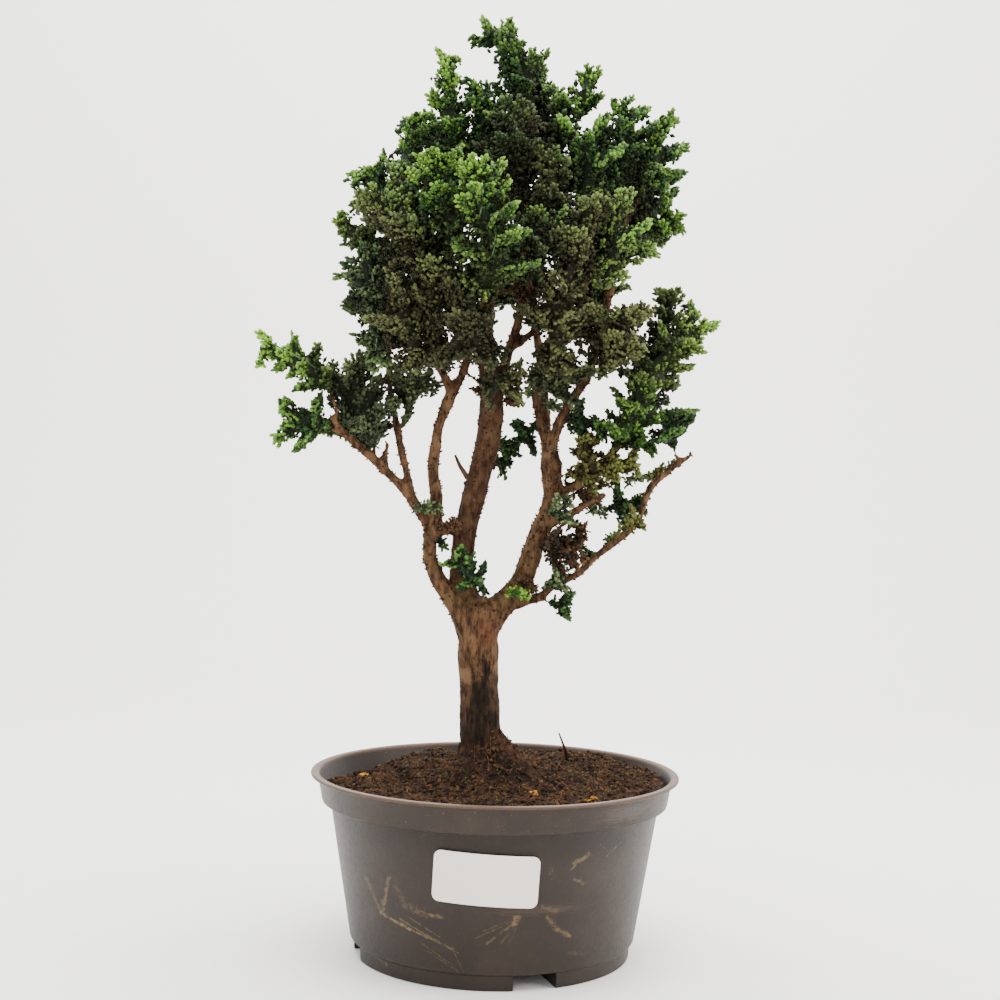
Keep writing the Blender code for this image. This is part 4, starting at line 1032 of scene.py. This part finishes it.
def pot_material():
    """Dark plastic, with dust, streaks, scuffs and specks, and painted shade as a dark band under the
    skirt.
    """
    surface = Surface("pot_plastic", 0.5, 0.3)
    surface.shader.inputs["Specular Tint"].default_value = (1.0, 0.87, 0.8, 1)
    x, y, z = surface.parts()
    cloud = surface.noise(22, 5, 0.6)
    fine = surface.noise(2.2, 5, 0.65)
    speck = surface.noise(0.9, 2)
    tone = surface.mix(cloud.ramp(0.3, 0.7), (26, 21, 18), (32, 26, 22))
    front = y.ramp(10, -30)
    dust = z.ramp(RIM_HEIGHT - 2, RIM_HEIGHT - 0.5) * 0.6 * (0.2 + fine)
    tone = surface.mix(dust, tone, (104, 78, 56))
    tone = surface.mix(cloud.ramp(0.45, 0.75) * 0.03, tone, (110, 92, 72))
    # Painted shade: a dark band on the wall under the skirt.
    tone = surface.mix(z.ramp(56, 74) * z.ramp(78, 76) * 0.8, tone, (6, 4, 3))
    made = [streak(x, z, fine, *row) for row in STREAKS]
    marks = made[0]
    for mark in made[1:]:
        marks = marks.math("MAXIMUM", mark)
    worn = surface.noise(2.5, 5, 0.75).ramp(0.36, 0.6)
    tone = surface.mix(marks * front * worn, tone, (116, 96, 62))
    rubbed = surface.noise(0.8, 4, 0.7, (0.12, 0.12, 1))
    for place, half, much, colour in SCUFFS:
        tone = surface.mix(smear(x, z, rubbed, place, half, much) * front, tone, colour)
    specks = speck.ramp(0.68, 0.74) * (0.12 + z.ramp(68, 88) * 0.5)
    surface.colour(surface.mix(specks, tone, (120, 88, 58)))
    surface.rough(0.36, 0.25, fine)
    surface.bump(fine * 0.6 + speck * 0.4, 0.1)
    return surface.material


def streak(x, z, ragged, start, end, half, much):
    """A thin ragged mark on the front of the pot, between two places seen from in front."""
    run = (end[0] - start[0], end[1] - start[1])
    length = math.hypot(*run)
    way = (run[0] / length, run[1] / length)
    across, height = x - start[0], z - start[1]
    along = (across * way[0] + height * way[1]).math("MAXIMUM", 0.0).math("MINIMUM", length)
    side = across - along * way[0]
    rise = height - along * way[1]
    out = (side * side + rise * rise).math("SQRT") * (1 / half)
    return (out + (ragged - 0.5) * 3.2).ramp(1.1, 0.0) * much


def smear(x, z, ragged, middle, half, much):
    """A ragged patch on the front of the pot, round a place seen from in front."""
    across = (x - middle[0]) * (1 / half[0])
    height = (z - middle[1]) * (1 / half[1])
    out = (across * across + height * height).math("SQRT")
    return (out + (ragged - 0.5) * 3.0).ramp(1.0, 0.4) * much


def channel_cutters(from_front):
    """What cuts a drain channel and the round hole at its inner end."""
    turn = Matrix.Rotation(math.radians(from_front - 90), 4, "Z")
    bm = bmesh.new()
    bmesh.ops.create_cube(bm, size=1)
    reach = 2 * RIM_RADIUS - CHANNEL_START
    size = Matrix.Diagonal((Vector((reach, CHANNEL_WIDTH, 2 * FOOT_HEIGHT)) * MM).to_4d())
    move = Matrix.Translation((MM * (CHANNEL_START + reach / 2), 0, 0))
    bmesh.ops.transform(bm, matrix=turn @ move @ size, verts=bm.verts)
    edges = [e for e in bm.edges if abs(e.verts[0].co.z - e.verts[1].co.z) < MM]
    bmesh.ops.bevel(bm, geom=edges, offset=CHANNEL_ROUND * MM, segments=3, profile=0.5,
                    affect="EDGES", material=-1)
    channel = object_of("channel", bm)
    bm = bmesh.new()
    move = Matrix.Translation((MM * DRAIN_FROM_AXIS, 0, MM * FOOT_HEIGHT))
    bmesh.ops.create_cone(bm, cap_ends=True, segments=32, radius1=MM * DRAIN_RADIUS,
                          radius2=MM * DRAIN_RADIUS, depth=MM * DRAIN_DEPTH, matrix=turn @ move)
    return channel, object_of("drain", bm)


def pot():
    shell = object_of("pot_shell", turned(pot_profile(), POT_STEPS))
    cutters = [cutter for from_front in CHANNEL_TURNS for cutter in channel_cutters(from_front)]
    mesh = cut(shell, cutters)
    finished("pot_shell", mesh, pot_material(), "pot_plastic", ("pot",))
    mesh.set_sharp_from_angle(angle=SHARP)


def wall_radius(height):
    share = (height - FOOT_HEIGHT) / (SKIRT_FOOT_HEIGHT - FOOT_HEIGHT)
    return WALL_FOOT_RADIUS + (WALL_TOP_RADIUS - WALL_FOOT_RADIUS) * share


def label_outline():
    """The label's rounded outline, flat and level, one point after another."""
    outline = []
    for k, (side, up) in enumerate(((1, 1), (-1, 1), (-1, -1), (1, -1))):
        for step in range(CORNER_STEPS + 1):
            turn = math.radians(90 * k + 90 * step / CORNER_STEPS)
            x = side * (LABEL_SIZE[0] / 2 - LABEL_CORNER) + LABEL_CORNER * math.cos(turn)
            z = up * (LABEL_SIZE[1] / 2 - LABEL_CORNER) + LABEL_CORNER * math.sin(turn)
            outline.append((x, 0, z))
    return outline


def label_place(x, z, lift):
    """A point of the level label, tilted and bent round the wall, in metres."""
    tilt = math.radians(-LABEL_TILT)
    across = x * math.cos(tilt) - z * math.sin(tilt) + LABEL_MIDDLE[0]
    up = x * math.sin(tilt) + z * math.cos(tilt) + LABEL_MIDDLE[1]
    radius = wall_radius(up) + lift
    turn = across / wall_radius(up)
    return Vector((radius * math.sin(turn), -radius * math.cos(turn), up)) * MM


def label():
    """A blank sheet with rounded corners, bent round the wall."""
    bm = bmesh.new()
    bm.faces.new([bm.verts.new(place) for place in label_outline()])
    for k in range(1, LABEL_STRIPS):
        line = (LABEL_SIZE[0] * (k / LABEL_STRIPS - 0.5), 0, 0)
        everything = bm.verts[:] + bm.edges[:] + bm.faces[:]
        bmesh.ops.bisect_plane(bm, geom=everything, plane_co=line, plane_no=(1, 0, 0))
    bmesh.ops.recalc_face_normals(bm, faces=bm.faces)
    sheet = bmesh.ops.extrude_face_region(bm, geom=bm.faces[:])["geom"]
    outer = {item for item in sheet if isinstance(item, bmesh.types.BMVert)}
    for vert in bm.verts:
        vert.co = label_place(vert.co.x, vert.co.z, LABEL_LIFT[vert in outer])
    bmesh.ops.recalc_face_normals(bm, faces=bm.faces)
    mesh = bpy.data.meshes.new("label_sheet")
    bm.to_mesh(mesh)
    bm.free()
    surface = Surface("label_paper", 0.38)
    stain = surface.noise(9, 5, 0.6).ramp(0.55, 0.8) * 0.35
    surface.colour(surface.mix(stain, (221, 211, 203), (198, 188, 174)))
    finished("label_sheet", mesh, surface.material, "label_paper", ("label",))
    mesh.set_sharp_from_angle(angle=SHARP)


def soil_material():
    surface = Surface("soil_peat", 0.95, 0.15)
    grain = surface.noise(2.0, 6, 0.7)
    blotch = surface.noise(9, 4).ramp(0.5, 0.75) * 0.5
    tone = surface.mix(grain.ramp(0.38, 0.68), (5, 3, 2), (66, 43, 27))
    tone = surface.mix(blotch, tone, (90, 58, 34))
    tone = surface.mix(surface.tint(), tone, (92, 66, 43))
    shade = surface.noise(13, 3, 0.6).ramp(0.47, 0.62) * 0.7
    surface.colour(surface.mix(shade, tone, (9, 6, 4)))
    surface.bump(grain, 1.0)
    return surface.material


def soil_top(tree):
    """The soil's lumpy top, fine enough to show clods, down to just under its edge."""
    rings, turns = SOIL_GRID[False]
    edge = SKIRT_FOOT_RADIUS - WALL - SOIL_FROM_WALL
    verts = []
    for n in range(rings + 1):
        radius = edge * (1 - n / rings) + 0.01
        for k in range(turns):
            turn = 2 * math.pi * k / turns
            x, y = radius * math.cos(turn), radius * math.sin(turn)
            verts.append((x, y, soil_height(tree, x, y)))
    low = [(x, y, z - SOIL_EDGE) for x, y, z in verts[:turns]]
    return np.array(low + verts), np.array(strips(0, rings + 2, turns))


def soil_height(tree, x, y):
    """The height of the soil's solid at a place, bridged over the stump's hole and roughened."""
    inside = min(1.0, SOIL_REACH / max(math.hypot(x, y), 0.01))
    above = Vector((x * inside, y * inside, SOIL_SKY))
    hit = tree.ray_cast(above, Vector((0, 0, -1)))[0]
    height = hit.z if hit and hit.z > SOIL_LEAST else SOIL_BRIDGE
    rough = noise.fractal(Vector((x, y, 0)) / SOIL_GRAIN, *SOIL_FRACTAL)
    lump = noise.noise(Vector((x, y, 30)) / SOIL_LUMP)
    for middle_x, middle_y, wide, rise, power in HEAPS:
        height += rise * max(0, 1 - math.hypot(x - middle_x, y - middle_y) / wide) ** power
    return height + SOIL_ROUGH * rough + SOIL_LUMPY * lump


def crumbs(tree, rng, count, sizes, reach, stretch=1.0, clumped=False):
    """Bits that lie on the soil, all over it or in clumps."""
    turn = rng.uniform(0, 2 * math.pi, count)
    radius = reach * np.sqrt(rng.random(count))
    x, y = radius * np.cos(turn), radius * np.sin(turn)
    clear = np.hypot(x - STUMP_X, y) > STUMP_CLEAR
    x, y = x[clear], y[clear]
    if clumped:
        thick = patchy(np.stack([x, y, np.full(len(x), 5)], axis=1), CLUMP_SIZE) > CLUMP_LEAST
        x, y = x[thick], y[thick]
    count = len(x)
    size = rng.uniform(*sizes, count) ** 1.5 / sizes[1] ** 0.5
    z = np.array([soil_height(tree, a, b) for a, b in zip(x, y)])
    centres = np.stack([x, y, z + size * 0.3], axis=1)
    ahead = directions(rng, count, (1, 1, 0.45))
    return lobes(centres, ahead, crosswise(ahead, rng), size, size * stretch, 0.7, BUD)


def fibres(tree, rng, count):
    """Thin bent roots and straws on the soil, three-sided."""
    verts, triangles = [], []
    sides, steps = 3, FIBRE_STEPS
    for _ in range(count):
        turn, radius = rng.uniform(0, 2 * math.pi), FIBRE_REACH * math.sqrt(rng.random())
        x, y = radius * math.cos(turn), radius * math.sin(turn)
        heading = rng.uniform(0, 2 * math.pi)
        length, bend = rng.uniform(3, 11), rng.uniform(-0.15, 0.15)
        thick = rng.uniform(0.1, 0.24)
        start = len(verts)
        for n in range(steps + 1):
            if math.hypot(x, y) > FIBRE_REACH + 1:
                x, y = x * 0.97, y * 0.97
            z = soil_height(tree, x, y) + 0.5 + 0.5 * math.sin(n)
            side = Vector((-math.sin(heading), math.cos(heading), 0))
            verts += ring(Vector((x, y, z)), side, Vector((0, 0, 1)), thick, sides)
            heading += bend * 3
            x += math.cos(heading) * length / steps
            y += math.sin(heading) * length / steps
        triangles += strips(start, steps + 1, sides)
        end = start + sides * steps
        triangles += [(start + 2, start + 1, start), (end, end + 1, end + 2)]
    return np.array(verts), np.array(triangles)


def fallen(tree):
    """Withered leaves on the soil, each a few thin lobes."""
    rng = np.random.default_rng(31)
    places = [(x, y, soil_height(tree, x, y) + 1.2) for x, y in FALLEN_LEAVES]
    centres = np.repeat(places, LEAF_LOBES, axis=0)
    centres = centres + rng.normal(0, 1, centres.shape) * (1.6, 1, 0.5)
    count = len(centres)
    ahead = directions(rng, count, (1, 1, 0.5))
    side = crosswise(ahead, rng)
    radii, lengths = rng.uniform(0.7, 1.3, count), rng.uniform(1.4, 2.4, count)
    return lobes(centres, ahead, side, radii, lengths, 0.3)


def plain_material(name, low, high, roughness=0.8):
    """Grain between two colours."""
    surface = Surface(name, roughness, 0.12)
    grain = surface.noise(2.5, 4, 0.6)
    surface.colour(surface.mix(grain.ramp(0.35, 0.7), low, high))
    surface.bump(grain, 0.3)
    return surface.material


def soil():
    tree = search_tree(*node_mesh("soil"))
    rng = np.random.default_rng(9)
    peat = soil_material()
    top = soil_top(tree)
    piece("soil_peat", top, peat, "soil_peat", ("soil",), np.zeros((len(top[0]), 3)))
    share = 1
    clods = crumbs(tree, rng, 4200 // share, (0.35, 1.7), 84)
    points = len(BUD[0])
    pale = np.repeat(rng.random(len(clods[0]) // points) ** 2, points)
    pale = np.stack([pale, pale, pale], axis=1)
    piece("soil_clods", clods, peat, "soil_peat", (), pale, smooth=False)
    straw = fibres(tree, rng, 850 // share)
    moss = crumbs(tree, rng, 5200 // share, (0.25, 0.7), 82, 1.6, True)
    bits = crumbs(tree, rng, 60, (0.4, 1.2), 80, 1.3)
    for name, shape, material, low, high in (
        ("soil_fibres", straw, "fibre", (40, 25, 16), (112, 78, 50)),
        ("soil_moss", moss, "moss", (34, 40, 16), (92, 98, 42)),
        ("soil_bits", bits, "bark_bit", (66, 32, 15), (116, 70, 34)),
        ("fallen_leaves", fallen(tree), "leaf", (150, 92, 30), (190, 142, 62)),
        ("soil_twigs", stems(SOIL_TWIGS), "twig", (34, 18, 12), (70, 42, 28)),
    ):
        piece(name, shape, plain_material(material, low, high), "soil_peat")


def stage():
    """A pale floor that curves up into a backdrop."""
    near, back, bend, top, side = -2500, 900, 500, 3500, 3500
    turns = np.linspace(0.1, 1.57, 14)
    run = [(near, 0), (back, 0)]
    run += [(back + bend * math.sin(turn), bend - bend * math.cos(turn)) for turn in turns]
    run += [(back + bend, top)]
    verts = [(x * MM, y * MM, z * MM) for y, z in run for x in (-side, side)]
    faces = [(2 * n, 2 * n + 1, 2 * n + 3, 2 * n + 2) for n in range(len(run) - 1)]
    mesh = bpy.data.meshes.new("floor")
    mesh.from_pydata(verts, [], faces)
    mesh.shade_smooth()
    floor = placed("floor", mesh)
    surface = Surface("floor", 0.7)
    surface.colour((0.9, 0.875, 0.85))
    mesh.materials.append(surface.material)


def light(name, place, aim, size, power, colour=(1, 1, 1)):
    lamp = bpy.data.lights.new(name, "AREA")
    lamp.shape = "RECTANGLE"
    lamp.size, lamp.size_y = size[0] * MM, size[1] * MM
    lamp.energy = power
    lamp.color = colour
    made = placed(name, lamp)
    made.location = Vector(place) * MM
    made.rotation_euler = (Vector(aim) - Vector(place)).to_track_quat("-Z", "Y").to_euler()


def lights():
    world = bpy.data.worlds.new("studio")
    bpy.context.scene.world = world
    world.use_nodes = True
    back = world.node_tree.nodes["Background"]
    back.inputs["Color"].default_value = (0.9, 0.94, 1.0, 1)
    back.inputs["Strength"].default_value = 0.8
    light("top", (100, -200, 1500), (0, 0, 250), (1500, 1300), 42, (1, 0.99, 0.97))
    light("right", (1300, -500, 650), (0, 0, 250), (900, 1100), 22, (1, 0.97, 0.93))
    light("left", (-1300, -500, 700), (0, 0, 250), (900, 1100), 13)
    light("front", (-200, -1500, 600), (0, 0, 200), (1200, 900), 9)
    light("backdrop", (0, 300, 1700), (0, 1300, 500), (2500, 400), 60)


def camera():
    data = bpy.data.cameras.new("camera")
    data.lens = CAMERA_LENS
    data.sensor_width = CAMERA_SENSOR
    data.clip_start = 0.01
    made = placed("camera", data)
    made.matrix_world = (
        Matrix.Translation(Vector(CAMERA_PLACE) * MM)
        @ Matrix.Rotation(CAMERA_YAW, 4, "Z")
        @ Matrix.Rotation(math.pi / 2 - CAMERA_DOWN, 4, "X")
        @ Matrix.Rotation(CAMERA_ROLL, 4, "Z")
    )
    bpy.context.scene.camera = made


stage()
lights()
camera()
pot()
label()
soil()
wood()
foliage()
